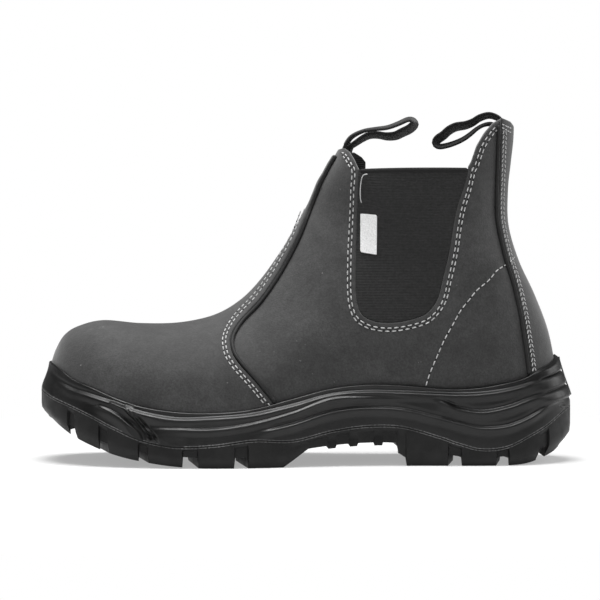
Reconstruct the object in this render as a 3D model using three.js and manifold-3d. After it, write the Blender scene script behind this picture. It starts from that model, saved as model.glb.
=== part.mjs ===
// A left pull-on work boot with elastic sides, in millimetres, +Z up.
// The toe points to -X and the outer (lateral) side faces -Y. The origin is under the middle of the boot.
import * as THREE from "three";
import { mergeVertices } from "three/addons/utils/BufferGeometryUtils.js";
import Module from "manifold-3d";

const wasm = await Module();
wasm.setup();

// Driving sizes
const SOLE_LENGTH = 308; // toe tip to the back of the heel
const BALL_WIDTH = 112; // the sole at the ball
const RIM_HEIGHT = 45; // top edge of the sole at the waist
const TOE_HEIGHT = 81; // top of the toe
const COLLAR_HEIGHT = 165; // top of the elastic
const SHAFT_WIDTH = 80; // the shaft from side to side
const SHAFT_TURN = 5; // degrees that the shaft turns to the inner side
const SHAFT_AXIS = 0.708; // where the shaft turns, as a share of SOLE_LENGTH
const INSTEP_LEAN = 4.5; // how far the instep's ridge leans to the inner side
const WALL = 2; // leather and lining of the upper
const OVERLAY = 1.2; // leather of vamp and backstay
const GAP = 0.3; // clearance between pieces that meet
const ELASTIC = 1.4; // thickness of a gore
const GORE_SINK = 0.4; // how far a gore lies below the leather around it
const INSOLE = 4;
const MARGIN = 11; // leather turned in under the foot
const SUNK = 7.5; // how far above the last's bottom the vamp ends, inside the rim
const LIP = 1.3; // thickness of the rim's top edge
const PIPING = 2.2; // diameter of the cord in a seam
const WEBBING = 2.2; // thickness of a pull loop
const WEBBING_WIDTH = 19;
const LOOP_TAIL = 16; // length of a pull loop's sewn end
const TAIL_STANDS = 3; // how far the front tail stands above its tab, and the rear tail ends below
const LABEL_THICK = 0.6;
const LUG_RELIEF = 1.4; // how far a lug stands out from the side between lugs
const LUG_TUCK = 2.2; // how far a lug's side leans in down to the tread
const CHANNEL = 8; // width of the groove along the middle of the tread
const STEP = 0.55; // height of the steps on the sole's side
const RIB = 2.6; // diameter of a raised rib on the toe's side
const ARCH_RIB = 4.6; // width of a cross rib under the arch
const ARCH_RIB_DEPTH = 1.6;

// How finely the curved pieces are cut into flats
const FORM_RINGS = 24;
const FORM_SIDES = 9; // points on each half of a ring
const SEAM_STEPS = 24;
const SOLE_STATIONS = 32;
const CORD_SIDES = 6;
const PIPING_STEPS = 13;
const RIB_STEPS = 5;

// The boot's form, a fan of rings from the toe to the collar. Each ring runs from a top point on the
// ridge to a bottom point on the last's bottom or back. Heights are shares of TOE_HEIGHT up to the toe
// and of the rise from there to the collar, or of RIM_HEIGHT and the rise from there to the collar.
// top x, toe, rise, bottom x, rim, climb, half width as shares of BALL_WIDTH and SHAFT_WIDTH,
// where the widest point lies, roundness of the top and of the bottom, share that is under the foot
const FORM = [
  [0.018, 0.63, 0.0, 0.018, 1.0, 0.0, 0.036, 0.0, 0.5, 2.0, 2.0, 0.0],
  [0.02, 0.7, 0.0, 0.021, 0.91, 0.0, 0.089, 0.0, 0.55, 2.0, 2.2, 0.2],
  [0.029, 0.8, 0.0, 0.032, 0.83, 0.0, 0.165, 0.0, 0.6, 2.0, 2.6, 0.6],
  [0.045, 0.9, 0.0, 0.049, 0.77, 0.0, 0.232, 0.0, 0.64, 2.05, 3.0, 1.0],
  [0.071, 0.96, 0.0, 0.075, 0.69, 0.0, 0.295, 0.0, 0.68, 2.1, 3.4, 1.0],
  [0.117, 1.0, 0.0, 0.12, 0.58, 0.0, 0.366, 0.0, 0.72, 2.15, 3.8, 1.0],
  [0.188, 0.98, 0.0, 0.188, 0.46, 0.0, 0.425, 0.0, 0.75, 2.1, 4.0, 1.0],
  [0.26, 0.99, 0.0, 0.266, 0.4, 0.0, 0.452, 0.0, 0.76, 2.0, 4.0, 1.0],
  [0.325, 1.0, 0.04, 0.357, 0.41, 0.0, 0.45, 0.0, 0.76, 1.95, 4.0, 1.0],
  [0.375, 1.0, 0.14, 0.448, 0.48, 0.0, 0.302, 0.147, 0.74, 1.95, 4.2, 1.0],
  [0.416, 1.0, 0.29, 0.545, 0.61, 0.0, 0.193, 0.237, 0.7, 2.0, 4.6, 1.0],
  [0.448, 1.0, 0.45, 0.666, 0.69, 0.0, 0.121, 0.293, 0.64, 2.0, 5.0, 1.0],
  [0.473, 1.0, 0.6, 0.789, 0.69, 0.0, 0.079, 0.35, 0.58, 2.05, 5.0, 1.0],
  [0.49, 1.0, 0.72, 0.896, 0.68, 0.0, 0.049, 0.387, 0.54, 2.1, 4.6, 1.0],
  [0.498, 1.0, 0.77, 0.945, 0.78, 0.0, 0.035, 0.401, 0.53, 2.1, 3.4, 0.6],
  [0.505, 1.0, 0.82, 0.969, 1.0, 0.03, 0.024, 0.414, 0.52, 2.1, 2.4, 0.0],
  [0.513, 1.0, 0.89, 0.959, 1.0, 0.23, 0.011, 0.435, 0.5, 2.1, 2.2, 0.0],
  [0.521, 1.0, 0.96, 0.932, 1.0, 0.42, 0.0, 0.463, 0.49, 2.15, 2.1, 0.0],
  [0.531, 1.0, 1.02, 0.901, 1.0, 0.59, 0.0, 0.475, 0.48, 2.2, 2.1, 0.0],
  [0.54, 1.0, 1.08, 0.882, 1.0, 0.76, 0.0, 0.485, 0.48, 2.2, 2.1, 0.0],
  [0.55, 1.0, 1.14, 0.881, 1.0, 0.93, 0.0, 0.492, 0.48, 2.2, 2.1, 0.0],
  [0.558, 1.0, 1.21, 0.886, 1.0, 1.06, 0.0, 0.497, 0.48, 2.2, 2.1, 0.0],
  [0.567, 1.0, 1.3, 0.891, 1.0, 1.18, 0.0, 0.5, 0.48, 2.2, 2.1, 0.0],
  [0.573, 1.0, 1.44, 0.892, 1.0, 1.31, 0.0, 0.5, 0.48, 2.2, 2.1, 0.0],
];

// The sole's outline and the heights of the lines on its side, from toe tip to heel back.
// x as a share of SOLE_LENGTH, outer and inner half width as shares of BALL_WIDTH, then heights as
// shares of RIM_HEIGHT: rim, bead, step, ridge, parting, base, tread, and the tuck in LUG_TUCKs
const SOLE = [
  [0.0, -0.045, 0.045, 1.26, 1.15, 1.06, 0.99, 0.93, 0.69, 0.58, 2.05],
  [0.005, 0.062, 0.152, 1.26, 1.15, 1.06, 0.98, 0.92, 0.68, 0.57, 2.05],
  [0.018, 0.165, 0.241, 1.23, 1.11, 1.02, 0.94, 0.88, 0.66, 0.55, 2.0],
  [0.039, 0.254, 0.308, 1.16, 1.03, 0.95, 0.88, 0.82, 0.58, 0.47, 1.82],
  [0.068, 0.33, 0.362, 1.05, 0.95, 0.88, 0.81, 0.75, 0.49, 0.365, 1.55],
  [0.107, 0.402, 0.406, 0.96, 0.88, 0.78, 0.7, 0.64, 0.37, 0.255, 1.36],
  [0.153, 0.455, 0.442, 0.84, 0.79, 0.65, 0.56, 0.49, 0.27, 0.15, 1.18],
  [0.205, 0.491, 0.464, 0.74, 0.68, 0.51, 0.42, 0.345, 0.2, 0.075, 1.09],
  [0.266, 0.518, 0.478, 0.68, 0.61, 0.49, 0.37, 0.27, 0.15, 0.02, 1.0],
  [0.334, 0.525, 0.473, 0.67, 0.62, 0.49, 0.39, 0.285, 0.13, 0.0, 1.0],
  [0.406, 0.504, 0.442, 0.71, 0.66, 0.555, 0.44, 0.345, 0.14, 0.0, 1.0],
  [0.477, 0.455, 0.397, 0.83, 0.765, 0.68, 0.54, 0.335, 0.2, 0.0, 1.0],
  [0.545, 0.406, 0.362, 0.95, 0.89, 0.84, 0.68, 0.44, 0.26, 0.0, 1.0],
  [0.61, 0.379, 0.344, 1.0, 0.93, 0.86, 0.73, 0.5, 0.29, 0.0, 1.0],
  [0.675, 0.371, 0.344, 0.99, 0.92, 0.84, 0.71, 0.49, 0.28, 0.0, 1.0],
  [0.74, 0.371, 0.353, 0.95, 0.9, 0.81, 0.61, 0.37, 0.18, 0.0, 1.0],
  [0.779, 0.375, 0.36, 0.94, 0.89, 0.72, 0.54, 0.28, 0.12, 0.0, 1.09],
  [0.821, 0.375, 0.364, 0.96, 0.9, 0.68, 0.48, 0.21, 0.11, 0.0, 1.18],
  [0.867, 0.362, 0.36, 1.01, 0.94, 0.73, 0.5, 0.24, 0.12, 0.0, 1.27],
  [0.909, 0.326, 0.332, 1.07, 1.0, 0.82, 0.6, 0.37, 0.17, 0.02, 1.55],
  [0.945, 0.263, 0.275, 1.18, 1.07, 0.89, 0.73, 0.5, 0.23, 0.08, 2.0],
  [0.974, 0.183, 0.196, 1.25, 1.12, 0.94, 0.79, 0.64, 0.3, 0.14, 2.55],
  [0.993, 0.089, 0.107, 1.32, 1.15, 0.97, 0.81, 0.71, 0.37, 0.19, 3.0],
  [1.0, -0.009, 0.009, 1.35, 1.16, 0.98, 0.82, 0.74, 0.39, 0.2, 3.18],
];

// The profile of the midsole's side: line (0 rim, 1 bead, 2 step, 3 ridge, 4 parting),
// share of the lean from the outline in to the rim, relief in STEPs
const SIDE_PROFILE = [
  [0.0, 1.0, 0.0],
  [0.3, 0.84, 0.9],
  [0.9, 0.72, 1.2],
  [1.1, 0.67, -0.8],
  [1.75, 0.48, -0.8],
  [2.0, 0.4, 1.2],
  [2.85, 0.22, -0.2],
  [3.0, 0.18, 1.6],
  [3.3, 0.13, -0.4],
  [4.0, 0.02, 0.0],
];

// Lines on the side of the boot: x as a share of SOLE_LENGTH, height as a share of the rise from
// RIM_HEIGHT to COLLAR_HEIGHT
const TOPLINE = [
  [0.487, 1.098], [0.547, 1.098], [0.558, 1.124], [0.572, 1.126], [0.584, 1.105], [0.594, 1.07],
  [0.605, 1.018], [0.808, 1.018], [0.815, 1.05], [0.825, 1.125], [0.839, 1.188], [0.854, 1.236],
  [0.869, 1.262], [0.883, 1.25], [0.893, 1.21], [0.937, 1.19],
];
const GORE = [
  [0.605, 1.018], [0.603, 0.917], [0.6, 0.775], [0.596, 0.592], [0.594, 0.45], [0.596, 0.38],
  [0.604, 0.33], [0.625, 0.301], [0.656, 0.293], [0.689, 0.305], [0.717, 0.328], [0.734, 0.366],
  [0.746, 0.417], [0.755, 0.497], [0.77, 0.637], [0.779, 0.755], [0.788, 0.848], [0.798, 0.922],
  [0.808, 1.018],
];
const VAMP_SEAM = [
  [0.446, -0.075], [0.411, 0.033], [0.38, 0.121], [0.368, 0.175], [0.367, 0.233], [0.383, 0.304],
  [0.416, 0.392], [0.445, 0.496], [0.469, 0.6], [0.488, 0.695], [0.502, 0.783], [0.51, 0.842],
  [0.519, 0.9], [0.527, 0.95], [0.537, 1.0], [0.548, 1.05], [0.5565, 1.085],
];
const BACK_SEAM = [
  [0.912, 0.058], [0.909, 0.133], [0.904, 0.225], [0.897, 0.35], [0.887, 0.478], [0.874, 0.6],
  [0.864, 0.725], [0.86, 0.817], [0.861, 0.958], [0.864, 1.217],
];
const LABEL = [[0.607, 0.808], [0.638, 0.8], [0.635, 0.614], [0.605, 0.627]];
const LOOP_FRONT = [
  [0.575, 1.148], [0.583, 1.181], [0.596, 1.204], [0.612, 1.219], [0.632, 1.227], [0.654, 1.234],
  [0.674, 1.252], [0.692, 1.272], [0.702, 1.269], [0.706, 1.249], [0.697, 1.224], [0.682, 1.205],
  [0.669, 1.19], [0.653, 1.187], [0.636, 1.194], [0.62, 1.192], [0.606, 1.175], [0.59, 1.148], [0.581, 1.134],
];
const LOOP_REAR = [
  [0.869, 1.239], [0.864, 1.268], [0.846, 1.286], [0.828, 1.274], [0.815, 1.253], [0.801, 1.239],
  [0.783, 1.231], [0.77, 1.214], [0.76, 1.191], [0.749, 1.171], [0.746, 1.152], [0.752, 1.141],
  [0.766, 1.146], [0.782, 1.159], [0.797, 1.177], [0.81, 1.2], [0.822, 1.225], [0.838, 1.245],
  [0.852, 1.245], [0.864, 1.218],
];

// Raised ribs that run down the toe's side: x as a share of SOLE_LENGTH, and the line as in SIDE_PROFILE
const TOE_RIBS = [
  [[0.146, 1.0], [0.17, 1.07], [0.181, 1.31], [0.193, 1.62], [0.204, 2.05], [0.214, 2.85], [0.218, 3.6]],
  [[0.183, 1.13], [0.2, 1.54], [0.211, 1.97], [0.221, 2.63], [0.227, 3.48]],
  [[0.125, 1.72], [0.148, 1.72], [0.167, 1.86], [0.184, 2.22], [0.199, 2.82], [0.207, 3.6]],
];
// Grooves across the tread: x at the edge from and to, and how far the groove's middle runs forward
const GROOVES = [
  [0.063, 0.077, 0.02],
  [0.124, 0.141, 0.04],
  [0.198, 0.215, 0.04],
  [0.278, 0.306, 0.03],
  [0.373, 0.397, 0.03],
  [0.76, 0.783, -0.02],
  [0.849, 0.871, -0.02],
  [0.93, 0.948, 0.0],
];
// The arch cut under the waist: x as a share of SOLE_LENGTH, height as a share of RIM_HEIGHT
const ARCH = [
  [0.461, -0.02], [0.461, 0.0], [0.483, 0.11], [0.506, 0.23], [0.506, 1.0],
  [0.668, 1.0], [0.668, 0.16], [0.681, 0.12], [0.684, 0.0], [0.684, -0.02],
];
const ARCH_RIBS = [0.548, 0.587, 0.632]; // x as shares of SOLE_LENGTH
// The grooves along the middle of the tread: x from and to, under the forefoot and under the heel
const CHANNELS = [[0.124, 0.44], [0.714, 0.93]];

// The outsole's base plate: share of the way down from its top, inset in LUG_RELIEFs
const PLATE_PROFILE = [[0.0, 0.0], [0.25, 0.0], [0.35, 1.0], [1.0, 1.0]];
// A lug's side: share of the way up from the tread to the plate's top, share of the tuck
const LUG_PROFILE = [[0.9, 0.0], [0.4, 0.0], [0.12, 0.45], [0.0, 1.0]];

const TURN_FROM = 1.3; // where the shaft's turn starts, as a share of RIM_HEIGHT
const LEAN_TO = 1.15; // where the instep's lean is whole, as a share of TOE_HEIGHT
const LEAN_ALONG = [0.0, 0.35, 0.4, 0.56]; // where it starts, is whole, fades and ends, along SOLE_LENGTH
const TAB_SKEW = [0.08, 25]; // the collar's line runs back across the boot, from this far to the outer side
const OPENING_TOP = 0.9; // top of the cut under the foot, as a share of RIM_HEIGHT

const LAYER = OVERLAY + GAP; // an overlay and its gap to the upper
const RISE = COLLAR_HEIGHT - RIM_HEIGHT;
const FAR = SOLE_LENGTH * 1.2; // beyond every piece, for cutting solids
const BED_ROWS = [3, 14]; // the rows of FORM whose bottoms lie under the foot, from and to
const BELOW = [0.68, 0.86]; // the turn of a ring from its side to its underside

// A table's columns as smooth functions of the row number, by cubic curves through the rows
function along(rows, u) {
  const last = rows.length - 1;
  const i = Math.min(Math.max(Math.floor(u), 0), last - 1);
  const f = u - i;
  const row = (k) => rows[Math.min(Math.max(k, 0), last)];
  return rows[i].map((b, c) => {
    const a = row(i - 1)[c];
    const d = row(i + 1)[c];
    const e = row(i + 2)[c];
    const in1 = (d - a) / 2;
    const in2 = (e - b) / 2;
    return b + f * (in1 + f * (3 * (d - b) - 2 * in1 - in2 + f * (2 * (b - d) + in1 + in2)));
  });
}

const ease = (from, to, x) => {
  const f = Math.min(Math.max((x - from) / (to - from), 0), 1);
  return f * f * (3 - 2 * f);
};

// The row of the sole's table at x
function soleAt(x) {
  let low = 0;
  let high = SOLE.length - 1;
  for (let i = 0; i < 30; i++) {
    const middle = (low + high) / 2;
    if (along(SOLE, middle)[0] * SOLE_LENGTH < x) low = middle;
    else high = middle;
  }
  return low;
}

// The line down the middle of the sole, which is curved to the inner side at the toe
function bow(x) {
  const [, outer, inner] = along(SOLE, soleAt(x));
  return ((inner - outer) / 2) * BALL_WIDTH;
}

// Where a straight piece's point lies on the curved boot: bowed along the sole's middle line, leaned
// over the instep, and turned about an upright axis through the shaft
function place([x, y, z]) {
  const axisX = SOLE_LENGTH * SHAFT_AXIS;
  const angle = THREE.MathUtils.degToRad(SHAFT_TURN) * ease(RIM_HEIGHT * TURN_FROM, COLLAR_HEIGHT, z);
  const [x0, x1, x2, x3] = LEAN_ALONG.map((share) => share * SOLE_LENGTH);
  const upward = ease(RIM_HEIGHT, TOE_HEIGHT * LEAN_TO, z);
  const lean = INSTEP_LEAN * upward * ease(x0, x1, x) * (1 - ease(x2, x3, x));
  const [dx, dy] = [x - axisX, y];
  return [
    axisX + dx * Math.cos(angle) + dy * Math.sin(angle),
    -dx * Math.sin(angle) + dy * Math.cos(angle) + bow(x) + lean,
    z,
  ];
}

// A closed straight mesh, bent onto the boot, as a solid that can be joined and cut
function solid(geometry) {
  geometry.deleteAttribute("normal");
  geometry.deleteAttribute("uv");
  const merged = mergeVertices(geometry, 1e-4);
  const tris = merged.index.array;
  const kept = [];
  for (let i = 0; i < tris.length; i += 3) {
    const [a, b, c] = [tris[i], tris[i + 1], tris[i + 2]];
    if (a !== b && b !== c && c !== a) kept.push(a, b, c);
  }
  const points = merged.attributes.position;
  const placed = new Float32Array(points.count * 3);
  for (let i = 0; i < points.count; i++)
    placed.set(place([points.getX(i), points.getY(i), points.getZ(i)]), i * 3);
  return new wasm.Manifold(
    new wasm.Mesh({ numProp: 3, vertProperties: placed, triVerts: new Uint32Array(kept) }),
  );
}

// A closed surface from rings of points. The end rings get a flat cap, or have shrunk to a line
function ringSolid(rings, capped = true) {
  const count = rings[0].length;
  const positions = rings.flat(2);
  const indices = [];
  for (let r = 0; r + 1 < rings.length; r++)
    for (let k = 0; k < count; k++) {
      const a = r * count + k;
      const b = r * count + ((k + 1) % count);
      indices.push(a, b, b + count, a, b + count, a + count);
    }
  for (const end of capped ? [0, rings.length - 1] : []) {
    const ring = rings[end];
    const centre = positions.length / 3;
    positions.push(...[0, 1, 2].map((c) => ring.reduce((sum, p) => sum + p[c], 0) / count));
    for (let k = 0; k < count; k++) {
      const a = end * count + k;
      const b = end * count + ((k + 1) % count);
      indices.push(centre, ...(end === 0 ? [b, a] : [a, b]));
    }
  }
  const geometry = new THREE.BufferGeometry();
  geometry.setAttribute("position", new THREE.Float32BufferAttribute(positions, 3));
  geometry.setIndex(indices);
  return solid(geometry);
}

// An outline in the side view carried across the boot from y = from to y = to, and back by skew
function sidePrism(outline, from = -BALL_WIDTH, to = BALL_WIDTH, skew = [0, 0]) {
  const shape = new THREE.Shape(outline.map(([x, z]) => new THREE.Vector2(x, z)));
  const geometry = new THREE.ExtrudeGeometry(shape, { depth: to - from, bevelEnabled: false });
  geometry.rotateX(Math.PI / 2);
  geometry.translate(0, to, 0);
  const [back, outer] = skew;
  geometry.applyMatrix4(new THREE.Matrix4().set(1, back, 0, back * outer, 0, 1, 0, 0, 0, 0, 1, 0, 0, 0, 0, 1));
  return solid(geometry);
}

// An outline in the top view carried up from z = from to z = to
function planPrism(outline, from, to) {
  const shape = new THREE.Shape(outline.map(([x, y]) => new THREE.Vector2(x, y)));
  const geometry = new THREE.ExtrudeGeometry(shape, { depth: to - from, bevelEnabled: false });
  geometry.translate(0, 0, from);
  return solid(geometry);
}

const sidePoint = ([x, h]) => [x * SOLE_LENGTH, RIM_HEIGHT + h * RISE];
const solePoint = ([x, h]) => [x * SOLE_LENGTH, h * RIM_HEIGHT];

// The line moved sideways by a distance, to the left of its direction
function offsetLine(points, distance) {
  const last = points.length - 1;
  return points.map((p, i) => {
    const a = points[Math.max(i - 1, 0)];
    const b = points[Math.min(i + 1, last)];
    const [dx, dz] = [b[0] - a[0], b[1] - a[1]];
    const length = Math.hypot(dx, dz);
    return [p[0] - (dz / length) * distance, p[1] + (dx / length) * distance];
  });
}

// A smooth curve through the points, as evenly spaced points
function smoothLine(points, steps) {
  const curve = new THREE.SplineCurve(points.map(([x, z]) => new THREE.Vector2(x, z)));
  return curve.getSpacedPoints(steps).map((p) => [p.x, p.y]);
}

// One ring of the form at row t: where its top and bottom are, its half width and its roundness
function formRow(t) {
  const [tx, toe, rise, bx, rim, climb, ball, shaft, at, topPower, bottomPower, under] = along(FORM, t);
  return {
    top: [tx * SOLE_LENGTH, toe * TOE_HEIGHT + rise * (COLLAR_HEIGHT - TOE_HEIGHT)],
    bottom: [bx * SOLE_LENGTH, rim * RIM_HEIGHT + climb * RISE],
    half: ball * BALL_WIDTH + shaft * SHAFT_WIDTH,
    at,
    topPower,
    bottomPower,
    under,
  };
}

// Half width of a ring at share s of the way from its top to its bottom: two superellipse quarters
function ringHalf(row, s) {
  const above = s < row.at;
  const u = above ? (row.at - s) / row.at : (s - row.at) / (1 - row.at);
  const power = above ? row.topPower : row.bottomPower;
  return row.half * Math.pow(Math.max(1 - Math.pow(Math.min(u, 1), power), 0), 1 / power);
}

// A point on the form at row t and turn q: 0 the ridge, 1 the bottom, along the outer side, and on to 2
function formPoint(t, q) {
  const row = formRow(t);
  const side = q <= 1 ? -1 : 1;
  const h = q <= 1 ? q : 2 - q;
  const angle = (h < 0.5 ? h : h - 0.5) * Math.PI;
  let s;
  let w;
  if (h < 0.5) {
    s = row.at * (1 - Math.pow(Math.max(Math.cos(angle), 0), 2 / row.topPower));
    w = Math.pow(Math.max(Math.sin(angle), 0), 2 / row.topPower);
  } else {
    s = row.at + (1 - row.at) * Math.pow(Math.max(Math.sin(angle), 0), 2 / row.bottomPower);
    w = Math.pow(Math.max(Math.cos(angle), 0), 2 / row.bottomPower);
  }
  return [
    row.top[0] + (row.bottom[0] - row.top[0]) * s,
    side * row.half * w,
    row.top[1] + (row.bottom[1] - row.top[1]) * s,
  ];
}

// The outward direction of the form at (t, q), from four points close around it
function formNormal(t, q) {
  const e = 0.02;
  const last = FORM.length - 1;
  const turn = (v) => (v + 2) % 2;
  const a = new THREE.Vector3(...formPoint(Math.max(t - e, 0), q));
  const b = new THREE.Vector3(...formPoint(Math.min(t + e, last), q));
  const c = new THREE.Vector3(...formPoint(t, turn(q - e)));
  const d = new THREE.Vector3(...formPoint(t, turn(q + e)));
  return b.sub(a).cross(d.sub(c)).normalize().multiplyScalar(-1).toArray();
}

// The form grown by one distance on its sides and another under the foot
function form(grow, growUnder = grow) {
  const last = FORM.length - 1;
  const rings = [];
  for (let i = 0; i <= FORM_RINGS; i++) {
    const t = (i / FORM_RINGS) * last;
    const { under } = formRow(t);
    const ring = [];
    for (let k = 0; k < 2 * FORM_SIDES; k++) {
      const q = k / FORM_SIDES;
      const h = q <= 1 ? q : 2 - q;
      const below = ease(...BELOW, h) * Math.min(Math.max(under, 0), 1);
      const distance = grow + (growUnder - grow) * below;
      const n = formNormal(t, q);
      const p = formPoint(t, q);
      ring.push([0, 1, 2].map((c) => p[c] + n[c] * distance));
    }
    rings.push(ring);
  }
  return ringSolid(rings);
}

// The row and share of a point in the side view, found by halving the fan of rings
function onFan(x, z) {
  const past = (t) => {
    const { top, bottom } = formRow(t);
    return (bottom[0] - top[0]) * (z - top[1]) - (bottom[1] - top[1]) * (x - top[0]);
  };
  let low = 0;
  let high = FORM.length - 1;
  const rising = past(high) > past(low);
  for (let i = 0; i < 40; i++) {
    const middle = (low + high) / 2;
    if (past(middle) > 0 === rising) high = middle;
    else low = middle;
  }
  const row = formRow(low);
  const [dx, dz] = [row.bottom[0] - row.top[0], row.bottom[1] - row.top[1]];
  const s = ((x - row.top[0]) * dx + (z - row.top[1]) * dz) / (dx * dx + dz * dz);
  return { t: low, row, s };
}

// Half width of the form at a point of the side view, or nothing outside it
function formHalf(x, z) {
  const { s, row } = onFan(x, z);
  return s < 0 || s > 1 ? 0 : ringHalf(row, s);
}

// A point of the side view on the form's side, moved outward by a distance
function onForm(x, z, side, distance) {
  const e = 0.5;
  const y = formHalf(x, z);
  const dx = (formHalf(x + e, z) - formHalf(x - e, z)) / (2 * e);
  const dz = (formHalf(x, z + e) - formHalf(x, z - e)) / (2 * e);
  const length = Math.hypot(dx, 1, dz);
  return [x - (dx / length) * distance, side * (y + distance / length), z - (dz / length) * distance];
}

// The sole's outline at row u: its place, the direction in from it, and its heights
function soleRow(u) {
  const last = SOLE.length - 1;
  const [x, outer, inner, rim, bead, step, ridge, parting, base, tread, tuck] = along(SOLE, u);
  const e = 0.01;
  const a = along(SOLE, Math.max(u - e, 0));
  const b = along(SOLE, Math.min(u + e, last));
  const dx = (b[0] - a[0]) * SOLE_LENGTH;
  const dw = ((b[1] + b[2] - a[1] - a[2]) / 2) * BALL_WIDTH;
  const length = Math.hypot(dx, dw);
  const tip = u === 0 || u === last;
  return {
    x: x * SOLE_LENGTH,
    half: tip ? 0 : ((outer + inner) / 2) * BALL_WIDTH,
    inward: tip ? [u === 0 ? 1 : -1, 0] : [dw / length, -dx / length],
    lines: [rim, bead, step, ridge, parting].map((h) => h * RIM_HEIGHT),
    base: base * RIM_HEIGHT,
    tread: Math.max(tread, 0) * RIM_HEIGHT,
    tuck: tuck * LUG_TUCK,
  };
}

// The row with its lean: how far in from the outline the rim's outer edge stands against the upper
function withLean(row) {
  const z = row.lines[0];
  let low = 0;
  let high = 25;
  for (let i = 0; i < 30; i++) {
    const inset = (low + high) / 2;
    const half = formHalf(row.x + row.inward[0] * inset, z);
    if (half === 0 || row.half + row.inward[1] * inset > half) low = inset;
    else high = inset;
  }
  return { ...row, lean: Math.max(low - LIP, 1) };
}

const soleRows = Array.from({ length: SOLE_STATIONS + 1 }, (_, i) =>
  withLean(soleRow((i / SOLE_STATIONS) * (SOLE.length - 1))),
);

// A point at an inset from the sole's outline
const insetPoint = (row, inset, side, z) => {
  const y = Math.max(row.half + row.inward[1] * inset, 0);
  return [row.x + row.inward[0] * inset, side * y, z];
};

// A body around the sole's outline, from profile(row), a list of [inset, height] from top to bottom
function soleBody(profile) {
  const rings = soleRows.map((row) => {
    const points = profile(row);
    const outer = points.map(([inset, z]) => insetPoint(row, inset, -1, z));
    const inner = points.map(([inset, z]) => insetPoint(row, inset, 1, z));
    return [...outer, ...inner.reverse()];
  });
  return ringSolid(rings, false);
}

// The side of the midsole: insets and heights worked out from the lines and the lean
function sideProfile(row) {
  return SIDE_PROFILE.map(([line, lean, relief]) => {
    const i = Math.min(Math.floor(line), 3);
    const f = line - i;
    const z = row.lines[i] * (1 - f) + row.lines[i + 1] * f;
    return [Math.max(lean * row.lean - relief * STEP, 0), z];
  });
}

// A point on the midsole's side, at x and on a line of the profile
function onSole(x, line, side) {
  const row = soleRow(soleAt(x));
  const k = Math.max(SIDE_PROFILE.findIndex(([at]) => at >= line), 1);
  const f = (line - SIDE_PROFILE[k - 1][0]) / (SIDE_PROFILE[k][0] - SIDE_PROFILE[k - 1][0]);
  const [a, b] = sideProfile(withLean(row)).slice(k - 1, k + 1);
  return insetPoint(row, a[0] * (1 - f) + b[0] * f, side, a[1] * (1 - f) + b[1] * f);
}

// A round cord along points in space, from a section carried along the curve
function cord(points, diameter, steps) {
  const path = new THREE.CatmullRomCurve3(points.map((p) => new THREE.Vector3(...p)));
  const section = new THREE.Shape(
    Array.from({ length: CORD_SIDES }, (_, i) => {
      const angle = (i / CORD_SIDES) * 2 * Math.PI;
      return new THREE.Vector2(Math.cos(angle), Math.sin(angle)).multiplyScalar(diameter / 2);
    }),
  );
  return solid(new THREE.ExtrudeGeometry(section, { steps, extrudePath: path }));
}

// The outsole: a base plate, and a tread that is cut into lugs by grooves
function makeOutsole() {
  const plate = soleBody((row) => {
    const top = row.lines[4] - GAP;
    return PLATE_PROFILE.map(([down, inset]) => [inset * LUG_RELIEF, top - (top - row.base) * down]);
  });
  let tread = soleBody((row) => {
    const top = row.lines[4] - GAP;
    return LUG_PROFILE.map(([up, tuck]) => [tuck * row.tuck, row.tread + (top - row.tread) * up]);
  });
  tread = tread.subtract(sidePrism(ARCH.map(solePoint)));
  for (const [from, to, forward] of GROOVES) {
    const edge = BALL_WIDTH;
    const [a, b, f] = [from, to, forward].map((v) => v * SOLE_LENGTH);
    const band = [[a, -edge], [a - f, 0], [a, edge], [b, edge], [b - f, 0], [b, -edge]];
    tread = tread.subtract(planPrism(band.reverse(), -RIM_HEIGHT, RIM_HEIGHT));
  }
  for (const [from, to] of CHANNELS) {
    const [a, b] = [from * SOLE_LENGTH, to * SOLE_LENGTH];
    const w = CHANNEL / 2;
    tread = tread.subtract(planPrism([[a, -w], [b, -w], [b, w], [a, w]], -RIM_HEIGHT, RIM_HEIGHT));
  }
  const ribs = ARCH_RIBS.map((share) => {
    const x = share * SOLE_LENGTH;
    const row = soleRow(soleAt(x));
    const y = row.half - 2 * LUG_RELIEF;
    const [z0, z1] = [row.base - ARCH_RIB_DEPTH, row.base + ARCH_RIB_DEPTH];
    const [x0, x1] = [x - ARCH_RIB / 2, x + ARCH_RIB / 2];
    return sidePrism([[x0, z0], [x1, z0], [x1, z1], [x0, z1]], -y, y);
  });
  return [tread, ...ribs].reduce((whole, piece) => whole.add(piece), plate);
}

// The midsole: the stepped side with its ribs, hollowed by the foot's form
function makeMidsole() {
  let body = soleBody(sideProfile);
  for (const line of TOE_RIBS)
    for (const side of [-1, 1])
      body = body.add(cord(line.map(([x, at]) => onSole(x * SOLE_LENGTH, at, side)), RIB, RIB_STEPS));
  const under = soleBody((row) => [
    [-RIB, row.lines[4]],
    [-RIB, -RIM_HEIGHT],
  ]);
  return body.subtract(under).subtract(form(GAP, GAP - LAYER));
}

// The shell between two forms
const shell = (outside, inside) => form(outside).subtract(form(inside));

const topline = TOPLINE.map(sidePoint);
const [toplineStart, toplineEnd] = [topline[0], topline[topline.length - 1]];
const aboveTopline = sidePrism(
  [...topline, [FAR, toplineEnd[1]], [FAR, FAR], [toplineStart[0], FAR]],
  -BALL_WIDTH,
  BALL_WIDTH,
  TAB_SKEW,
);
const goreLine = GORE.map(sidePoint);
const inside = -LAYER - WALL; // the lining's surface

// The bottom line of the form, from the toe to the heel
const bedLine = FORM.map((_, i) => formRow(i).bottom).slice(...BED_ROWS);

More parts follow.
